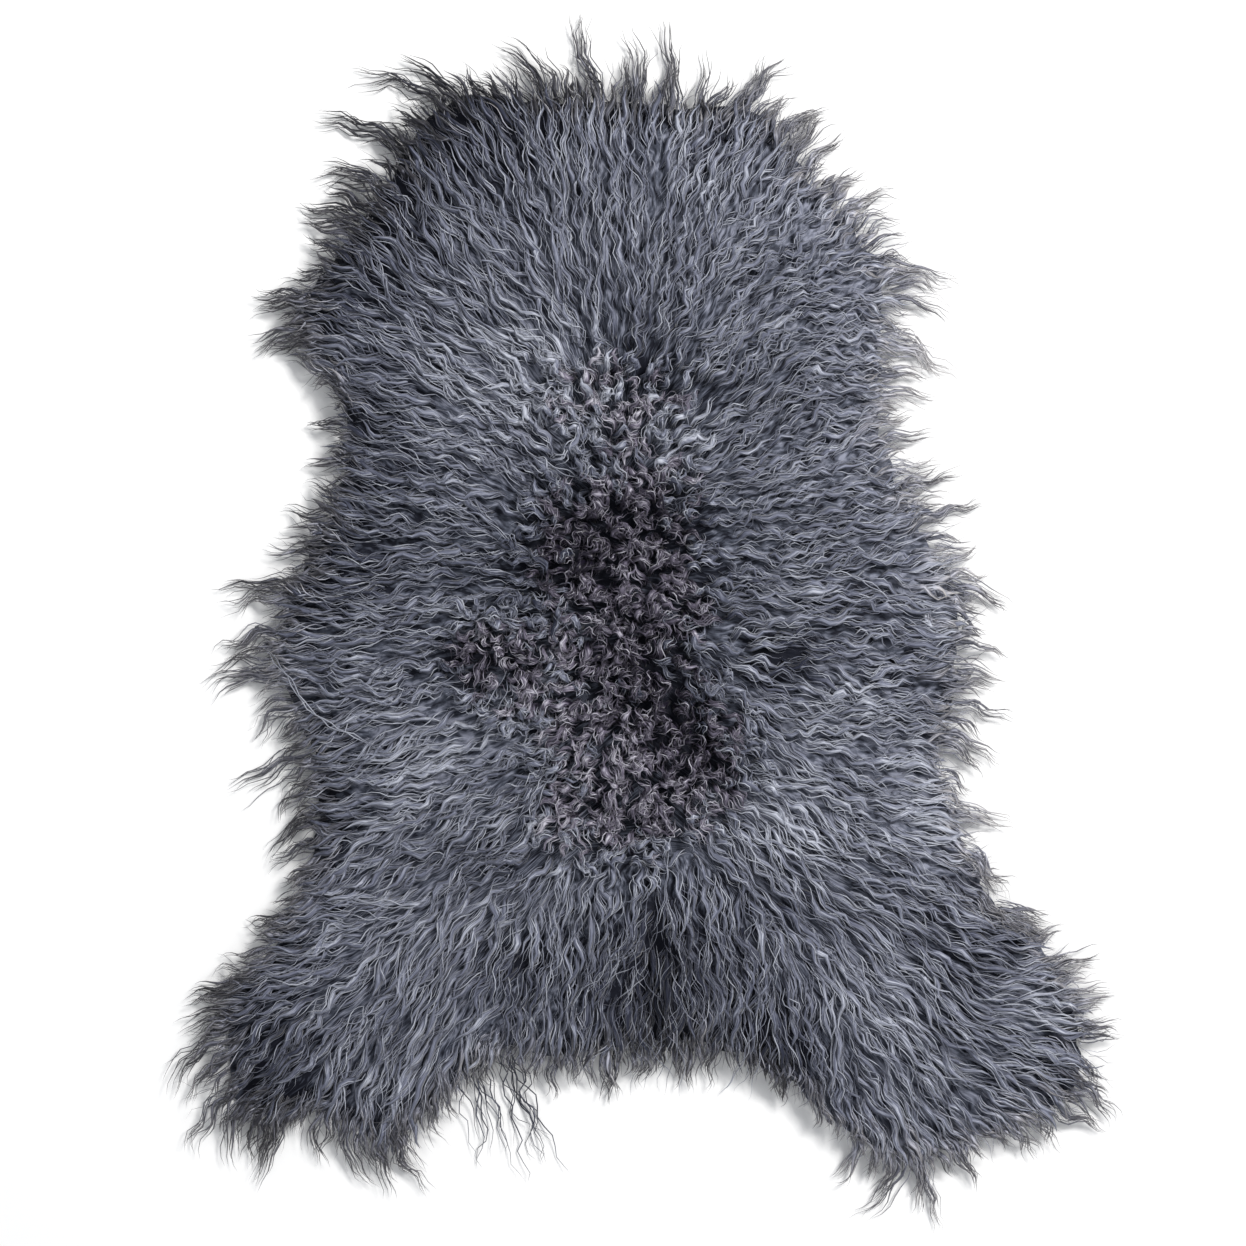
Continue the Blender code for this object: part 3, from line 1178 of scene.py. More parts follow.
@dataclass(frozen=True)
class WoolFinish:
    """Wool coloured along the strand and by its tone, with fine fibres running down it, painted highlights
    on the brightest fibres and painted shade at its roots.
    """

    name: str
    dark: Colour
    middle: Colour
    pale: Colour
    tips: Colour = (1.0, 1.0, 1.0)
    tips_over: Range = (0.25, 0.85)
    fibres: float = 42.0
    fibre_swells: float = 3.0
    contrast: float = 0.55
    drifts: float = 31.0
    drift_swells: float = 3.5
    drift_contrast: float = 0.4
    threads: float = 0.26
    thread_highlight_over: Range = (0.52, 0.66)
    thread_highlight_balance: float = 0.08
    root_shade: float = 0.30
    roots_over: Range = (0.0, 0.4)
    roughness: float = 0.50
    roughness_swing: float = 0.3
    relief: float = 0.5
    relief_height: float = 0.3 * MM
    gloss: float = 0.35
    sheen: float = 0.15
    sheen_roughness: float = 0.4

    def make(self) -> bpy.types.Material:
        """Builds the material.

        Returns:
            The material.
        """
        recipe = Recipe(self.name)
        along, tone = recipe.mapped(PALETTE)
        fibre = recipe.noise(along * self.fibre_swells, tone * self.fibres, 2.0)
        drift = recipe.noise(along * self.drift_swells, tone * self.drifts, 1.0)
        shade = tone + (fibre - 0.5) * self.contrast + (drift - 0.5) * self.drift_contrast
        # Painted highlights on the brightest fibres, less an even amount.
        shade = shade + fibre.eased(*self.thread_highlight_over) * self.threads - self.thread_highlight_balance
        # Painted shade at the roots, where they sink into the fleece.
        shade = shade - (1 - along.eased(*self.roots_over)) * self.root_shade
        colour = recipe.ramp(shade, [(0.0, self.dark), (0.5, self.middle), (1.0, self.pale)])
        return recipe.finish(
            {
                "Base Color": recipe.tinted(colour, along.eased(*self.tips_over), self.tips),
                "Roughness": self.roughness + (0.5 - fibre) * self.roughness_swing,
                "Normal": recipe.bump(fibre, self.relief, self.relief_height),
                "Specular IOR Level": self.gloss,
                "Sheen Weight": self.sheen,
                "Sheen Roughness": self.sheen_roughness,
            }
        )


@dataclass(frozen=True)
class FeltFinish:
    """Dense wool seen from above, as wavy streaks that follow the comb, with pockets of painted shade
    between.
    """

    name: str
    dark: Colour
    middle: Colour
    pale: Colour
    waves: float = 14.0
    wave_rows: float = 60.0
    sway: float = 0.005
    streaks: float = 650.0
    streak_swells: float = 26.0
    streak_contrast: float = 2.0
    streak_relief: float = 0.6
    pockets: float = 300.0
    pocket_swells: float = 16.0
    pocket_shading: float = 1.3
    pocket_relief: float = 0.8
    roughness: float = 0.75
    roughness_swing: float = 0.2
    relief: float = 0.8
    relief_height: float = 1.6 * MM
    gloss: float = 0.12

    def make(self) -> bpy.types.Material:
        """Builds the material.

        Returns:
            The material.
        """
        recipe = Recipe(self.name)
        along, around = recipe.mapped(FLOW)
        tone = recipe.signal("ShaderNodeAttribute", {"attribute_name": TONE}, {}, "Fac")
        sway = recipe.noise(along * self.waves, around * self.wave_rows, 1.0) - 0.5
        place = around + sway * self.sway
        streak = recipe.noise(along * self.streak_swells, place * self.streaks, 3.0)
        pocket = recipe.noise(along * self.pocket_swells, place * self.pockets, 1.0)
        # The pockets paint shade between the streaks.
        shade = tone + (streak - 0.5) * self.streak_contrast + (pocket - 0.5) * self.pocket_shading
        relief = streak * self.streak_relief + pocket * self.pocket_relief
        return recipe.finish(
            {
                "Base Color": recipe.ramp(shade, [(0.0, self.dark), (0.5, self.middle), (1.0, self.pale)]),
                "Roughness": self.roughness - streak * self.roughness_swing,
                "Specular IOR Level": self.gloss,
                "Normal": recipe.bump(relief, self.relief, self.relief_height),
            }
        )


@dataclass(frozen=True)
class HideFinish:
    """Undyed suede, mottled, with a short nap."""

    name: str = "suede"
    dark: Colour = (0.50, 0.43, 0.35)
    pale: Colour = (0.68, 0.61, 0.52)
    dark_at: float = 0.3
    pale_at: float = 0.7
    cloud_scale: float = 14.0
    cloud_share: float = 0.7
    nap_scale: float = 900.0
    roughness: float = 0.92
    roughness_swing: float = 0.12
    relief: float = 0.4
    relief_height: float = 0.4 * MM

    def make(self) -> bpy.types.Material:
        """Builds the material.

        Returns:
            The material.
        """
        recipe = Recipe(self.name)
        spot = recipe.signal("ShaderNodeTexCoord", {}, {}, "Object")
        cloud, nap = (
            recipe.signal("ShaderNodeTexNoise", {}, {"Vector": spot, "Scale": scale, "Detail": detail})
            for scale, detail in ((self.cloud_scale, 4.0), (self.nap_scale, 2.0))
        )
        shade = cloud * self.cloud_share + nap * (1 - self.cloud_share)
        return recipe.finish(
            {
                "Base Color": recipe.ramp(shade, [(self.dark_at, self.dark), (self.pale_at, self.pale)]),
                "Roughness": self.roughness - nap * self.roughness_swing,
                "Normal": recipe.bump(nap, self.relief, self.relief_height),
            }
        )


COMBED = WoolFinish(
    "combed wool",
    dark=(0.015, 0.018, 0.036),
    middle=(0.149, 0.160, 0.218),
    pale=(0.462, 0.484, 0.550),
)
# Brownish like the wool of the back, with a near-black dark end and deeper root shade that paint the shade
# in the hollows between the curls.
CURLED = WoolFinish(
    "curled wool",
    dark=(0.007, 0.005, 0.013),
    middle=(0.140, 0.125, 0.172),
    pale=(0.498, 0.490, 0.550),
    root_shade=0.45,
    roughness=0.38,
    sheen=0.04,
)
WISPY = WoolFinish(
    "wispy wool",
    dark=(0.016, 0.016, 0.024),
    middle=(0.150, 0.155, 0.200),
    pale=(0.460, 0.470, 0.550),
    tips=(1.0, 0.94, 0.80),
    root_shade=0.10,
)
# Much darker than the combed wool: painted shade in the hollows between the locks.
FELT_IN_SHADE = FeltFinish(
    "felted wool",
    dark=(0.008, 0.009, 0.016),
    middle=(0.068, 0.076, 0.103),
    pale=(0.230, 0.242, 0.305),
)


def dress(piece: bpy.types.Object, material: bpy.types.Material) -> bpy.types.Object:
    """Gives a piece its material, its slot and its body.

    Args:
        piece: The piece.
        material: Its material.

    Returns:
        The same piece.
    """
    piece.data.materials.clear()
    piece.data.materials.append(material)
    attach(piece, BODY)
    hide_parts(NODE)
    return piece


@dataclass
class Underfleece:
    """The dense wool below the locks, which shows as streaky hollows between them, darkened with painted
    shade.
    """

    pelt: Pelt
    fleece: Fleece
    rings: int = 48
    depth: float = 6.5 * MM
    curl_depth: float = 6.5 * MM
    rim_drop: float = 6.0 * MM
    rim_from: float = 0.86
    rim_over: float = 0.12
    lowest: float = 2.5 * MM
    inset: float = 18 * MM
    raggedness: float = 0.3
    ragged_size: float = 12 * MM
    ridge: float = 1.4 * MM
    ridge_count: int = 260
    ridge_sway: float = 3.0
    ridge_over: float = 0.25
    shade: float = 0.08
    gloom_shade: float = 0.8
    curl_shade: float = 0.24
    merge: float = 0.02 * MM
    hide_gap: float = 0.1 * MM
    flare: float = 1.004
    map_scale: float = 0.86
    hidden_scale: float = 0.12

    def _heights(self, places: np.ndarray, flow: np.ndarray) -> np.ndarray:
        """Finds the height of the top over the floor.

        Args:
            places: Points (x, y).
            flow: Their places along and round the comb, from 0 to 1.

        Returns:
            The heights.
        """
        sway = self.ridge_sway * self.fleece.drift.at(places * 2)
        swing = flow[:, 1] * 2 * math.pi * self.ridge_count + sway
        ridged = self.ridge * np.sin(swing) * np.clip(flow[:, 0] / self.ridge_over, 0, 1)
        deep = self.depth + self.curl_depth * self.fleece.curl(places)
        deep = deep + self.rim_drop * smooth((flow[:, 0] - self.rim_from) / self.rim_over)
        return np.maximum(self.fleece.height(places) - deep + ridged, self.lowest)

    def _tones(self, places: np.ndarray) -> np.ndarray:
        """Tone of the wool down there, darkened with painted shade, more where it is gloomy or curled."""
        tone = self.fleece.tone(places) - self.shade - self.gloom_shade * self.fleece.gloom(places)
        return tone - self.curl_shade * self.fleece.curl(places)

    def build(self) -> bpy.types.Object:
        """Makes the piece: a grid wrapped round the back line, with its rim turned down to the hide.

        Returns:
            The new object, with its flow and palette maps.
        """
        columns = self.pelt.columns
        ragged = 1 + self.raggedness * SoftNoise(seed=13, size=self.ragged_size).at(self.pelt.edge)
        last = 1 - (self.inset * ragged / self.pelt.reaches())[:, None]
        lines, _ = self.pelt.comb_lines(np.linspace(0.0, 1.0, self.rings + 1) * last)
        lines[:, 0] = self.pelt.back
        work = bmesh.new()
        flow_map = work.loops.layers.uv.new(FLOW)
        tones = work.verts.layers.float.new(TONE)
        bmesh.ops.create_grid(work, x_segments=columns, y_segments=self.rings, size=0.5)
        flow = np.array([(vert.co.y + 0.5, vert.co.x + 0.5) for vert in work.verts])
        for face in work.faces:
            face.smooth = True
            for loop in face.loops:
                loop[flow_map].uv = flow[loop.vert.index]
        row = np.rint(flow[:, 0] * self.rings).astype(int)
        column = np.rint(flow[:, 1] * columns).astype(int) % columns
        places = lines[column, row]
        heights = self._heights(places, flow)
        for vert, place, height, tone in zip(work.verts, places, heights, self._tones(places)):
            vert.co = (place[0], place[1], height)
            vert[tones] = tone
        bmesh.ops.remove_doubles(work, verts=work.verts, dist=self.merge)
        self._close(work)
        bmesh.ops.recalc_face_normals(work, faces=work.faces)
        self._map(work)
        return meshed("underfleece", work)

    def _close(self, work: bmesh.types.BMesh) -> None:
        """Turns the rim down to the hide and closes the underside.

        Args:
            work: The bmesh, open below.
        """
        rim = [edge for edge in work.edges if edge.is_boundary]
        turned_down = bmesh.ops.extrude_edge_only(work, edges=rim)["geom"]
        for item in turned_down:
            if isinstance(item, bmesh.types.BMVert):
                item.co.z = HIDE_THICKNESS + self.hide_gap
                item.co.x *= self.flare
                item.co.y *= self.flare
        bottom = [item for item in turned_down if isinstance(item, bmesh.types.BMEdge)]
        bmesh.ops.contextual_create(work, geom=bottom)

    def _map(self, work: bmesh.types.BMesh) -> None:
        """Maps the piece from straight above, with its hidden underside small in a free corner.

        Args:
            work: The closed bmesh.
        """
        layer = work.loops.layers.uv.new(PALETTE)
        for face in work.faces:
            hidden = face.normal.z < -0.5
            for loop in face.loops:
                spot = loop.vert.co.xy * self.map_scale + Vector((0.5, 0.5))
                loop[layer].uv = spot * self.hidden_scale if hidden else spot


@dataclass
class Hide:
    """The tanned skin that the wool grows from, cut to the pelt's outline."""

    pelt: Pelt
    inset: float = 42 * MM

    def _cut(self) -> np.ndarray:
        """Points (x, y) round the cut edge."""
        return self.pelt.edge - self.pelt.outward * self.inset

    def build(self) -> bpy.types.Object:
        """Makes the sheet: the outline filled and thickened.

        Returns:
            The new object.
        """
        work = bmesh.new()
        bmesh.ops.create_circle(work, cap_ends=True, segments=self.pelt.columns, radius=1.0)
        order = sorted(work.verts, key=lambda vert: -math.atan2(vert.co.y, vert.co.x))
        for vert, place in zip(order, self._cut()):
            vert.co = (place[0], place[1], HIDE_THICKNESS)
        grown = bmesh.ops.extrude_face_region(work, geom=list(work.faces))["geom"]
        for item in grown:
            if isinstance(item, bmesh.types.BMVert):
                item.co.z = 0.0
        bmesh.ops.recalc_face_normals(work, faces=work.faces)
        return meshed("hide", work)

    def size(self) -> tuple[float, float]:
        """Width and length of the cut."""
        width, length = np.ptp(self._cut(), axis=0)
        return float(width), float(length)


class Region(Enum):
    """Stretches of the pelt from neck to hem, from and to in metres, each a pair of pieces."""

    NECK = (0.27, 1.0)
    SHOULDER = (0.05, 0.27)
    FLANK = (-0.20, 0.05)
    HAUNCH = (-1.0, -0.20)

    def holds(self, places: np.ndarray) -> np.ndarray:
        """Which places lie in this stretch."""
        low, high = self.value
        return (places[:, 1] >= low) & (places[:, 1] < high)


@dataclass
class Bed:
    """Locks set out over part of the hide: where each is rooted and the habits its strands share."""

    fleece: Fleece
    spacing: float
    seed: int
    half_width: float = 0.50
    half_length: float = 0.60
    jitter: float = 0.4
    margin: float = 6 * MM
    tone_spread: float = 0.07
    lift_spread_mm: float = 1.2

    def __post_init__(self) -> None:
        """Sets roots out on a jittered, staggered grid over the hide."""
        self.chance = np.random.default_rng(self.seed)
        rows = np.arange(-self.half_length, self.half_length, self.spacing * math.sqrt(3) / 2)
        columns = np.arange(-self.half_width, self.half_width, self.spacing)
        grid = np.stack(np.meshgrid(columns, rows), axis=2)
        grid[1::2, :, 0] += self.spacing / 2
        places = grid.reshape(-1, 2)
        places = places + self.chance.uniform(-self.jitter, self.jitter, places.shape) * self.spacing
        self._settle(places[self.fleece.comb.past(places) < -self.margin])

    def _settle(self, roots: np.ndarray) -> None:
        """Keeps some roots, and draws what the strands of each lock share.

        Args:
            roots: The roots that are kept.
        """
        count = len(roots)
        self.roots = roots
        self.curl = self.fleece.curl(roots)
        self.tone = self.fleece.tone(roots) + self.chance.normal(0, self.tone_spread, count)
        self.gloom = self.fleece.gloom(roots)
        self.phase = self.chance.uniform(0, 2 * math.pi, count)
        self.lift = self.chance.normal(0, self.lift_spread_mm, count) * MM

    def keep(self, chosen: np.ndarray) -> None:
        """Keeps only the locks that a mask chooses."""
        self._settle(self.roots[chosen])


@dataclass
class CombedCoat:
    """Long wool combed outward: a soft lock at each root with fine strands over and beside it."""

    fleece: Fleece
    seed: int = 11
    spacing: float = 15.2 * MM
    margin: float = 14 * MM
    combed_below: Range = (0.15, 0.85)
    length: float = 58 * MM
    past_edge_mm: Range = (-20, 7)
    fuller_share: float = 0.7
    fuller_limit: float = 8 * MM
    lock_width: float = 5.2 * MM
    lock_shade: float = 0.05
    lock_gloom: float = 0.25
    strands: int = 4
    strand_width: float = 0.85 * MM
    strand_gloom: float = 0.2
    glint: float = 0.12
    gloom_glint: float = 0.7
    swing: float = 0.34
    wave_length: float = 36 * MM
    lean: float = 0.17
    sweep: float = 0.7
    rings: int = 9
    edge_depth: float = 75 * MM
    edge_blend: float = 0.7
    edge_grain: tuple[float, float] = (9100.0, 5300.0)

    def build(self, wool: bpy.types.Material, worn: bpy.types.Material) -> list[bpy.types.Object]:
        """Makes and dresses the pieces, region by region, and the band along the edge.

        Args:
            wool: The wool's material.
            worn: Its material along the edge.

        Returns:
            The pieces.
        """
        bed = Bed(self.fleece, self.spacing, self.seed)
        bed.keep(bed.curl < bed.chance.uniform(*self.combed_below, len(bed.roots)))
        bed.keep(self.fleece.comb.past(bed.roots) < -self.margin)
        locks, strands = self._grow(bed)
        made = self._pieces("edge", locks, strands, self._at_edge, worn)
        for region in Region:
            made += self._pieces(region.name.lower(), locks, strands, self._within(region), wool)
        return made

    def _at_edge(self, roots: np.ndarray) -> np.ndarray:
        """Finds the roots that belong to the band along the edge, more and more of them towards it.

        Args:
            roots: The roots.

        Returns:
            True for each that does.
        """
        past = self.fleece.comb.past(roots)
        grain = np.sin(roots @ self.edge_grain) * 0.5 + 0.5
        return smooth((past + self.edge_depth) / (self.edge_blend * self.edge_depth)) > grain

    def _within(self, region: Region) -> Callable[[np.ndarray], np.ndarray]:
        """A test for the roots of a region that lie off the edge band."""
        return lambda roots: region.holds(roots) & ~self._at_edge(roots)

    def _pieces(
        self,
        name: str,
        locks: Growth,
        strands: Growth,
        test: Callable[[np.ndarray], np.ndarray],
        material: bpy.types.Material,
    ) -> list[bpy.types.Object]:
        """Makes and dresses the locks and the strands whose roots pass a test.

        Args:
            name: First word of the pieces' names.
            locks: All the locks.
            strands: All the strands.
            test: The test.
            material: The pieces' material.

        Returns:
            The two pieces.
        """
        soft = Loft(self.fleece, Profile.LOCK, self.rings - 1)
        fine = Loft(self.fleece, Profile.HAIR, self.rings)
        made = (
            soft.piece(f"{name}_locks", locks.pick(test(locks.roots))),
            fine.piece(f"{name}_strands", strands.pick(test(strands.roots))),
        )
        return [dress(piece, material) for piece in made]

    def _grow(self, bed: Bed) -> tuple[Growth, Growth]:
        """Draws the coat of a bed.

        Crimped and curly wool is shorter, and swings more.

        Args:
            bed: The bed.

        Returns:
            The locks and the strands.
        """
        chance = bed.chance
        count = len(bed.roots)
        crimp = self.fleece.crimp(bed.roots)
        room = chance.uniform(*self.past_edge_mm, count) * MM - self.fleece.comb.past(bed.roots)
        room = room + self.fuller_share * np.minimum(self.fleece.fuller(bed.roots), self.fuller_limit)
        length = self.length * (1 - 0.28 * crimp) * (1 - 0.4 * bed.curl) * chance.uniform(0.75, 1.25, count)
        length = np.minimum(length, room)
        swing = self.swing * (1 + crimp + 0.6 * bed.curl) * chance.uniform(0.5, 1.4, count)
        wave_length = self.wave_length * (1 - 0.52 * crimp) * chance.uniform(0.8, 1.25, count)
        lean = chance.normal(0, self.lean, count) + self.sweep * patches_at(SWEPT_EDGES, bed.roots)
        locks = Growth(
            roots=bed.roots,
            length=length,
            width=self.lock_width * chance.uniform(0.6, 1.4, count),
            tone=bed.tone - self.lock_shade - self.lock_gloom * bed.gloom,
            swing=swing,
            wave_length=wave_length,
            phase=bed.phase,
            lean=lean,
            lift=bed.lift,
            bury=6.0 * MM,
            rise=1.0 * MM,
            twist=chance.uniform(0.1, 0.8, count),
        )
        own = np.repeat(np.arange(count), self.strands)
        count = len(own)
        shaded = bed.tone[own] - self.strand_gloom * bed.gloom[own]
        strands = Growth(
            roots=bed.roots[own] + chance.normal(0, 2.6, (count, 2)) * MM,
            length=length[own] * chance.uniform(0.7, 1.12, count),
            width=self.strand_width * chance.uniform(0.6, 1.5, count),
            tone=shaded + chance.exponential(self.glint + self.gloom_glint * bed.gloom[own]),
            swing=swing[own] * chance.uniform(0.8, 1.3, count),
            wave_length=wave_length[own] * chance.uniform(0.93, 1.07, count),
            phase=bed.phase[own] + chance.normal(0, 0.5, count),
            offset=chance.uniform(-1, 1, count) * 4.5 * MM,
            gather=chance.uniform(0.2, 1.0, count),
            lean=lean[own] + chance.normal(0, 0.07, count),
            lift=bed.lift[own] + chance.uniform(0.0, 2.6, count) * MM,
            bury=5.0 * MM,
            rise=chance.uniform(-5.0, 2.0, count) * MM,
        )
        return locks, strands


@dataclass
class BackCurls:
    """Short curls that stand up along the back, in tufts with dark hollows between them."""

    fleece: Fleece
    seed: int = 17
    spacing: float = 9.3 * MM
    curled_above: Range = (0.15, 0.75)
    middle_above: Range = (0.55, 1.0)
    length: float = 24 * MM
    curl_width: float = 5.8 * MM
    curl_shade: float = 0.13
    strands: int = 4
    strand_width: float = 0.95 * MM
    strand_shade: float = 0.07
    glint: float = 0.24
    swing: float = 0.92
    wave_length: float = 18.5 * MM
    lean: float = 0.55
    back_share: float = 0.20
    rings: int = 8

    def build(self, curled: bpy.types.Material, combed: bpy.types.Material) -> list[bpy.types.Object]:
        """Makes and dresses the curls and the strands over them.

        Args:
            curled: The material of the curls in the middle.
            combed: The material of those where the curls run out into combed wool.

        Returns:
            The pieces.
        """
        bed = Bed(self.fleece, self.spacing, self.seed)
        bed.keep(bed.curl >= bed.chance.uniform(*self.curled_above, len(bed.roots)))
        curls, strands = self._grow(bed)
        middle = bed.curl > bed.chance.uniform(*self.middle_above, len(bed.roots))
        curly = Loft(self.fleece, Profile.CURL, self.rings - 1)
        fine = Loft(self.fleece, Profile.HAIR, self.rings)
        made = []
        for name, chosen, wool in (("back", middle, curled), ("border", ~middle, combed)):
            over = np.repeat(chosen, self.strands)
            made.append(dress(curly.piece(f"{name}_curls", curls.pick(chosen)), wool))
            made.append(dress(fine.piece(f"{name}_strands", strands.pick(over)), wool))
        return made

    def _grow(self, bed: Bed) -> tuple[Growth, Growth]:
        """Draws the curls of a bed.

        Looser curls are longer and straighter. Near the back line and in a whorl they point
        every way.

        Args:
            bed: The bed.

        Returns:
            The curls and the strands over them.
        """
        chance = bed.chance
        count = len(bed.roots)
        tight = bed.curl
        tone = bed.tone + chance.normal(0, 0.06, count)
        length = self.length * chance.uniform(0.7, 1.35, count) * (1.3 - 0.3 * tight)
        swing = self.swing * chance.uniform(0.6, 1.5, count) * (0.6 + 0.4 * tight)
        wave_length = self.wave_length * chance.uniform(0.8, 1.35, count) * (1.25 - 0.25 * tight)
        lean = chance.normal(0, self.lean, count) * (0.3 + 0.7 * tight)
        on_back = self.fleece.comb.share(bed.roots) < self.back_share * chance.uniform(0.3, 1.0, count)
        on_back |= patches_at(WHORLS, bed.roots) > chance.uniform(0.3, 0.9, count)
        lean = np.where(on_back, chance.uniform(-math.pi, math.pi, count), lean)
        arch = chance.uniform(-2.0, 7.0, count) * MM
        lift = bed.lift * 1.5
        curls = Growth(
            roots=bed.roots,
            length=length,
            width=self.curl_width * chance.uniform(0.5, 1.35, count),
            tone=tone - self.curl_shade,
            swing=swing,
            wave_length=wave_length,
            phase=bed.phase,
            lean=lean,
            lift=lift,
            bury=9.0 * MM,
            arch=arch,
            rise=-2.0 * MM,
            twist=chance.uniform(0.3, 1.4, count),
        )
        own = np.repeat(np.arange(count), self.strands)
        count = len(own)
        strands = Growth(
            roots=bed.roots[own] + chance.normal(0, 1.5, (count, 2)) * MM,
            length=length[own] * chance.uniform(0.8, 1.15, count),
            width=self.strand_width * chance.uniform(0.5, 1.4, count),
            tone=tone[own] - self.strand_shade + chance.exponential(self.glint, count),
            swing=swing[own] * chance.uniform(0.9, 1.4, count),
            wave_length=wave_length[own] * chance.uniform(0.9, 1.1, count),
            phase=bed.phase[own] + chance.normal(0, 0.28, count),
            offset=chance.uniform(-1, 1, count) * 4.2 * MM,
            gather=chance.uniform(0.4, 1.0, count),
            lean=lean[own] + chance.normal(0, 0.10, count),
            lift=lift[own] + chance.uniform(0.5, 3.0, count) * MM,
            bury=7.0 * MM,
            arch=arch[own],
        )
        return curls, strands


@dataclass
class Rim:
    """Pointed tufts round the edge, with fine down between them."""

    pelt: Pelt
    fleece: Fleece
    seed: int = 23
    tufts: int = 320
    tuft_depth: float = 30 * MM
    smallness: float = 1.8
    down: int = 700
    down_depth: float = 18 * MM
    stretch: float = 1.05
    least_reach: float = 1 * MM
    short_lock: float = 0.28
    longer_lock: float = 1.30
    ribbon_width: float = 3.0 * MM
    ribbon_spread: float = 2.0 * MM
    wisp_width: float = 0.88 * MM
    wisp_spread: float = 5.0 * MM
    side_bend: float = 0.45
    side_bend_from: float = 0.2
    bend_drift: float = 0.38
    bend_drift_size: float = 0.10
    bend_spread: float = 0.4
    lean_drift: float = 0.2
    lean_drift_size: float = 0.08
    lean_spread: float = 0.14
    lean_back: float = 0.25
    sweep: float = 0.8
    down_sweep: float = 1.2
    down_lean: float = 0.6
    down_drift_size: float = 0.030
    base_tone: float = 0.48
    side_shading: float = 0.11
    side_shading_from: float = 0.25
    patch_tone: float = 0.5

    def _round(
        self, chance: np.random.Generator, count: int, depth: float
    ) -> tuple[np.ndarray, np.ndarray, np.ndarray]:
        """Sets places out round the rim.

        Args:
            chance: Where its chances come from.
            count: Number of places.
            depth: How far inside the edge they lie, at most.

        Returns:
            The places, how far each lies from the edge, and the longest lock there.
        """
        at = (np.arange(count) + chance.uniform(0, 1, count)) * self.pelt.columns / count
        column = at.astype(int) % self.pelt.columns
        after = (column + 1) % self.pelt.columns
        step = (at - np.floor(at))[:, None]
        edge = self.pelt.edge[column] * (1 - step) + self.pelt.edge[after] * step
        inside = depth * chance.uniform(0.35, 1.0, count)
        return edge - self.pelt.outward[column] * inside[:, None], inside, self.pelt.lock[column]

    def _tone(self, places: np.ndarray) -> np.ndarray:
        """Tone of the rim, darker on the left than on the right: painted shade on the side away from the
        light and painted light on the side facing it.
        """
        right = np.clip(places[:, 0] / self.side_shading_from, -1, 1)
        return self.base_tone + self.side_shading * right + self.patch_tone * self.fleece.patchy(places)

    def _tufts(self, chance: np.random.Generator) -> tuple[Growth, Growth]:
        """Draws the tufts, each of strands that gather to its bent point.

        Args:
            chance: Where its chances come from.

        Returns:
            Their flat ribbons and their thin wisps.
        """
        places, inside, lock = self._round(chance, self.tufts, self.tuft_depth)
        size = chance.uniform(0, 1, self.tufts) ** self.smallness
        reach = inside + self.least_reach + lock * (self.short_lock + self.longer_lock * size)
        reach = reach + self.fleece.fuller(places)
        swept = patches_at(SWEPT_EDGES, places)
        right = np.clip(places[:, 0] / self.side_bend_from, -1, 1)
        bend_drift = self.bend_drift * SoftNoise(seed=37, size=self.bend_drift_size).at(places)
        bend = swept - self.side_bend * right + bend_drift
        bend = bend + chance.uniform(-self.bend_spread, self.bend_spread, self.tufts)
        lean = self.lean_drift * SoftNoise(seed=29, size=self.lean_drift_size).at(places)
        lean = lean + chance.normal(0, self.lean_spread, self.tufts)
        lean = lean - self.lean_back * bend + self.sweep * swept
        phase = chance.uniform(0, 2 * math.pi, self.tufts)
        swing = chance.uniform(0.20, 0.50, self.tufts)
        wave_length = chance.uniform(26, 42, self.tufts) * MM
        tone = self._tone(places) + chance.normal(0, 0.07, self.tufts)
        batches = []
        for copies, width, spread in (
            (np.where(size > 0.5, 2, 1), self.ribbon_width, np.full(self.tufts, self.ribbon_spread)),
            (np.rint(4 + 9 * size).astype(int), self.wisp_width, self.wisp_spread + self.wisp_spread * size),
        ):
            own = np.repeat(np.arange(self.tufts), copies)
            count = len(own)
            batches.append(
                Growth(
                    roots=places[own] + chance.normal(0, 1.2, (count, 2)) * MM,
                    length=self.stretch * reach[own] * chance.triangular(0.5, 0.95, 1.08, count),
                    width=width * chance.uniform(0.6, 1.4, count),
                    tone=tone[own] + chance.normal(0.0, 0.14, count),
                    swing=swing[own] * chance.uniform(0.8, 1.25, count),
                    wave_length=wave_length[own] * chance.uniform(0.95, 1.05, count),
                    phase=phase[own] + chance.normal(0, 0.35, count),
                    offset=chance.uniform(-1, 1, count) * spread[own],
                    gather=chance.uniform(0.85, 1.15, count),
                    lean=lean[own] + chance.normal(0, 0.05, count),
                    bend=bend[own] + chance.normal(0, 0.12, count),
                    lift=chance.uniform(0.0, 3.0, count) * MM,
                    bury=9.0 * MM,
                    rise=chance.uniform(0.0, 5.0, count) * MM,
                )
            )
        return batches[0], batches[1]

    def _down(self, chance: np.random.Generator) -> Growth:
        """Draws the fine down that fills the rim between the tufts.

        Args:
            chance: Where its chances come from.

        Returns:
            The down.
        """
        places, inside, lock = self._round(chance, self.down, self.down_depth)
        lean = SoftNoise(seed=29, size=self.down_drift_size).at(places)
        lean = lean + self.down_sweep * patches_at(SWEPT_EDGES, places)
        reach = inside + lock * chance.uniform(0.0, 0.65, self.down) + self.fleece.fuller(places)
        return Growth(
            roots=places,
            length=self.stretch * reach,
            width=chance.uniform(0.40, 0.70, self.down) * MM,
            tone=self._tone(places) + chance.normal(0.10, 0.14, self.down),
            swing=chance.uniform(0.15, 0.6, self.down),
            wave_length=chance.uniform(22, 40, self.down) * MM,
            phase=chance.uniform(0, 2 * math.pi, self.down),
            lean=self.down_lean * lean + chance.normal(0, 0.16, self.down),
            lift=chance.uniform(0.0, 5.0, self.down) * MM,
            rise=chance.uniform(-2.0, 3.0, self.down) * MM,
        )

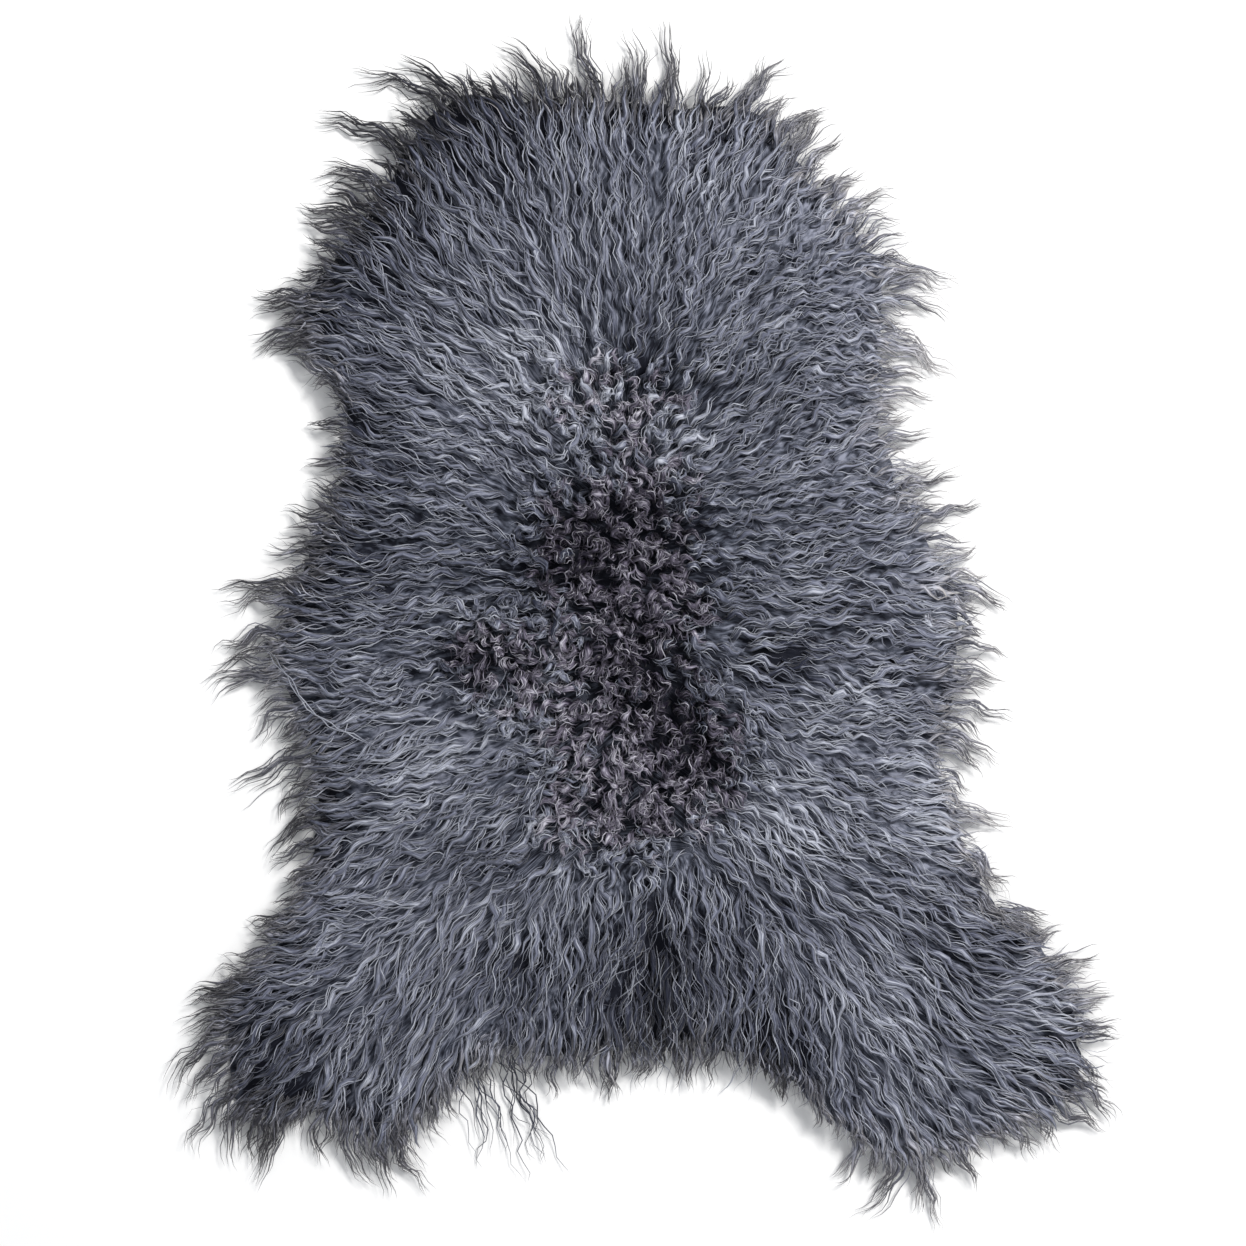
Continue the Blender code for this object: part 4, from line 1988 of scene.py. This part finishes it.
    def build(self, wool: bpy.types.Material) -> list[bpy.types.Object]:
        """Makes and dresses the tufts and the down.

        Args:
            wool: Their material.

        Returns:
            The pieces.
        """
        chance = np.random.default_rng(self.seed)
        ribbons, wisps = self._tufts(chance)
        flat = Loft(self.fleece, Profile.LOCK, rings=10, tip_width=0.06, taper_from=0.3)
        thin = Loft(self.fleece, Profile.HAIR, rings=9, tip_width=0.3, taper_from=0.6)
        short = Loft(self.fleece, Profile.HAIR, rings=6)
        made = (
            flat.piece("rim_locks", ribbons),
            thin.piece("rim_wisps", wisps),
            short.piece("rim_down", self._down(chance)),
        )
        return [dress(piece, wool) for piece in made]


@dataclass(frozen=True)
class Scatter:
    """What a batch of loose hairs is drawn from, in mm and radians: from and to."""

    count: int
    along: Range
    length: Range
    width: Range
    tone: Range
    swing: Range
    wave_length: Range

    def draw(self, chance: np.random.Generator, across: np.ndarray) -> dict[str, np.ndarray]:
        """Draws the hairs.

        Args:
            chance: Where its chances come from.
            across: Where each hair is rooted across the pelt, in mm.

        Returns:
            Their habits, in metres and radians.
        """
        return {
            "roots": np.stack((across, chance.uniform(*self.along, self.count)), axis=1) * MM,
            "length": chance.uniform(*self.length, self.count) * MM,
            "width": chance.uniform(*self.width, self.count) * MM,
            "tone": chance.uniform(*self.tone, self.count),
            "swing": chance.uniform(*self.swing, self.count),
            "wave_length": chance.uniform(*self.wave_length, self.count) * MM,
            "phase": chance.uniform(0, 2 * math.pi, self.count),
        }


HANGING = Scatter(
    count=20,
    along=(-400, -380),
    length=(75, 150),
    width=(0.8, 1.4),
    tone=(-0.1, 0.25),
    swing=(0.3, 0.7),
    wave_length=(30, 55),
)
OVER_PARTING = Scatter(
    count=110,
    along=(-395, -270),
    length=(24, 58),
    width=(0.5, 0.7),
    tone=(-0.1, 1.0),
    swing=(0.2, 0.5),
    wave_length=(24, 44),
)


@dataclass
class Strays:
    """Loose hairs: long pale pairs that cross the comb, and those at the hem."""

    fleece: Fleece
    seed: int = 31
    pairs: int = 50
    spacing: float = 30 * MM
    inside: float = 0.75
    across_comb: Range = (0.15, 0.50)
    length_mm: Range = (60, 120)
    hanging_across_mm: Range = (-165, -100)
    hanging_lean: Range = (0.0, 0.5)
    parting_middle_mm: float = 20
    parting_spread_mm: float = 24
    parting_lean: float = 0.35
    parting_lift_mm: Range = (4.0, 9.0)

    def build(self, wool: bpy.types.Material) -> list[bpy.types.Object]:
        """Makes and dresses the hairs.

        Args:
            wool: Their material.

        Returns:
            The pieces.
        """
        chance = np.random.default_rng(self.seed)
        long = Loft(self.fleece, Profile.HAIR, rings=20, taper_from=0.7)
        hanging = Loft(self.fleece, Profile.HAIR, rings=14, tip_width=0.3, taper_from=0.5)
        short = Loft(self.fleece, Profile.HAIR, rings=9, taper_from=0.6)
        made = (
            long.piece("stray_hairs", self._pairs(chance)),
            long.piece("crossing_hairs", self._crossing()),
            hanging.piece("hanging_hairs", self._hanging(chance)),
            short.piece("parting_hairs", self._parting(chance)),
        )
        return [dress(piece, wool) for piece in made]

    def _pairs(self, chance: np.random.Generator) -> Growth:
        """Draws the pairs, each of two hairs that wave against each other.

        Args:
            chance: Where its chances come from.

        Returns:
            The hairs.
        """
        bed = Bed(self.fleece, self.spacing, self.seed)
        bed.keep(self.fleece.comb.share(bed.roots) < self.inside)
        roots = bed.roots[chance.permutation(len(bed.roots))[: self.pairs]]
        pairs = len(roots)
        own = np.repeat(np.arange(pairs), 2)
        count = len(own)
        lean = chance.choice((-1.0, 1.0), pairs) * chance.uniform(*self.across_comb, pairs)
        length = chance.uniform(*self.length_mm, pairs) * MM
        phase = chance.uniform(0, 2 * math.pi, pairs)
        return Growth(
            roots=roots[own] + chance.normal(0, 0.8, (count, 2)) * MM,
            length=length[own] * chance.uniform(0.85, 1.0, count),
            width=chance.uniform(0.7, 1.05, count) * MM,
            tone=chance.uniform(0.65, 0.88, count),
            swing=chance.uniform(0.15, 0.40, count),
            wave_length=chance.uniform(20, 34, count) * MM,
            phase=phase[own] + np.tile((0.0, math.pi), pairs),
            lean=lean[own],
            lift=3.2 * MM,
            bury=5.0 * MM,
        )

    def _hanging(self, chance: np.random.Generator) -> Growth:
        """Long thin strands that hang loose from the left of the hem."""
        drawn = HANGING.draw(chance, chance.uniform(*self.hanging_across_mm, HANGING.count))
        return Growth(**drawn, lean=chance.uniform(*self.hanging_lean, HANGING.count), rise=2.0 * MM)

    def _parting(self, chance: np.random.Generator) -> Growth:
        """Draws the fine light and dark hairs over the parting at the hem.

        Args:
            chance: Where its chances come from.

        Returns:
            The hairs.
        """
        count = OVER_PARTING.count
        across = chance.normal(self.parting_middle_mm, self.parting_spread_mm, count)
        drawn = OVER_PARTING.draw(chance, across)
        lean = chance.normal(0, self.parting_lean, count)
        return Growth(**drawn, lean=lean, lift=chance.uniform(*self.parting_lift_mm, count) * MM)

    def _crossing(self) -> Growth:
        """The one long pair that crosses the left belly to its edge."""
        return Growth(
            roots=np.array(((-228, -125), (-231, -123))) * MM,
            length=np.array((165, 152)) * MM,
            width=1.1 * MM,
            tone=0.86,
            swing=0.22,
            wave_length=26 * MM,
            phase=np.array((0.0, math.pi)),
            lean=-0.75,
            lift=3.6 * MM,
        )


@dataclass
class Studio:
    """The pale floor, the soft lights and the camera straight above."""

    height: float = 3.4
    sensor: float = 36.0
    floor_size: float = 12.0
    floor_gap: float = 0.3 * MM
    floor_white: float = 0.86
    floor_roughness: float = 0.9
    sky: Colour = (0.95, 0.97, 1.0)
    sky_strength: float = 0.62
    lamp_place: tuple[float, float, float] = (2.6, 2.2, 3.6)
    lamp_size: float = 1.3
    lamp_power: float = 270.0
    lamp_colour: Colour = (1.0, 0.985, 0.965)

    def _floor(self) -> None:
        """Lays a plain white floor."""
        work = bmesh.new()
        bmesh.ops.create_grid(work, x_segments=1, y_segments=1, size=self.floor_size / 2)
        for vert in work.verts:
            vert.co.z = -self.floor_gap
        floor = meshed("floor", work)
        white = (self.floor_white, self.floor_white, self.floor_white, 1.0)
        finish = Recipe("white floor").finish({"Base Color": white, "Roughness": self.floor_roughness})
        floor.data.materials.append(finish)

    def _lights(self) -> None:
        """Hangs a large soft light to the upper right, and fills the rest from all round."""
        world = bpy.data.worlds.new("studio")
        world.use_nodes = True
        sky = world.node_tree.nodes["Background"]
        sky.inputs["Color"].default_value = (*self.sky, 1.0)
        sky.inputs["Strength"].default_value = self.sky_strength
        bpy.context.scene.world = world
        lamp = bpy.data.lights.new("key", "AREA")
        lamp.size = self.lamp_size
        lamp.energy = self.lamp_power
        lamp.color = self.lamp_colour
        hung = linked("key", lamp)
        hung.location = self.lamp_place
        hung.rotation_euler = (-Vector(self.lamp_place)).to_track_quat("-Z", "Y").to_euler()

    def _camera(self) -> None:
        """Hangs the camera so that the photograph's frame is filled as it is there."""
        data = bpy.data.cameras.new("camera")
        data.sensor_width = self.sensor
        data.lens = data.sensor_width * self.height / (IMAGE_PIXELS * PIXEL)
        camera = linked("camera", data)
        right = IMAGE_PIXELS / 2 - PELT_MIDDLE_PIXEL[0]
        up = PELT_MIDDLE_PIXEL[1] - IMAGE_PIXELS / 2
        camera.location = (right * PIXEL, up * PIXEL, self.height)
        bpy.context.scene.camera = camera

    def build(self) -> None:
        """Sets up the whole studio."""
        self._camera()
        self._floor()
        self._lights()
        bpy.context.scene.view_settings.view_transform = "Standard"


def main() -> None:
    """Builds the rug and the studio, and measures the hide's cut."""
    logging.basicConfig(level=logging.INFO, format="%(message)s")
    Studio().build()
    pelt = Pelt()
    fleece = Fleece(Comb(pelt))
    combed, worn = COMBED.make(), WISPY.make()
    wool = [dress(Underfleece(pelt, fleece).build(), FELT_IN_SHADE.make())]
    wool += CombedCoat(fleece).build(combed, worn)
    wool += BackCurls(fleece).build(CURLED.make(), combed)
    wool += Rim(pelt, fleece).build(worn)
    wool += Strays(fleece).build(combed)
    skin = Hide(pelt)
    hide = dress(skin.build(), HideFinish().make())
    skin.size()


if __name__ == "__main__":
    main()
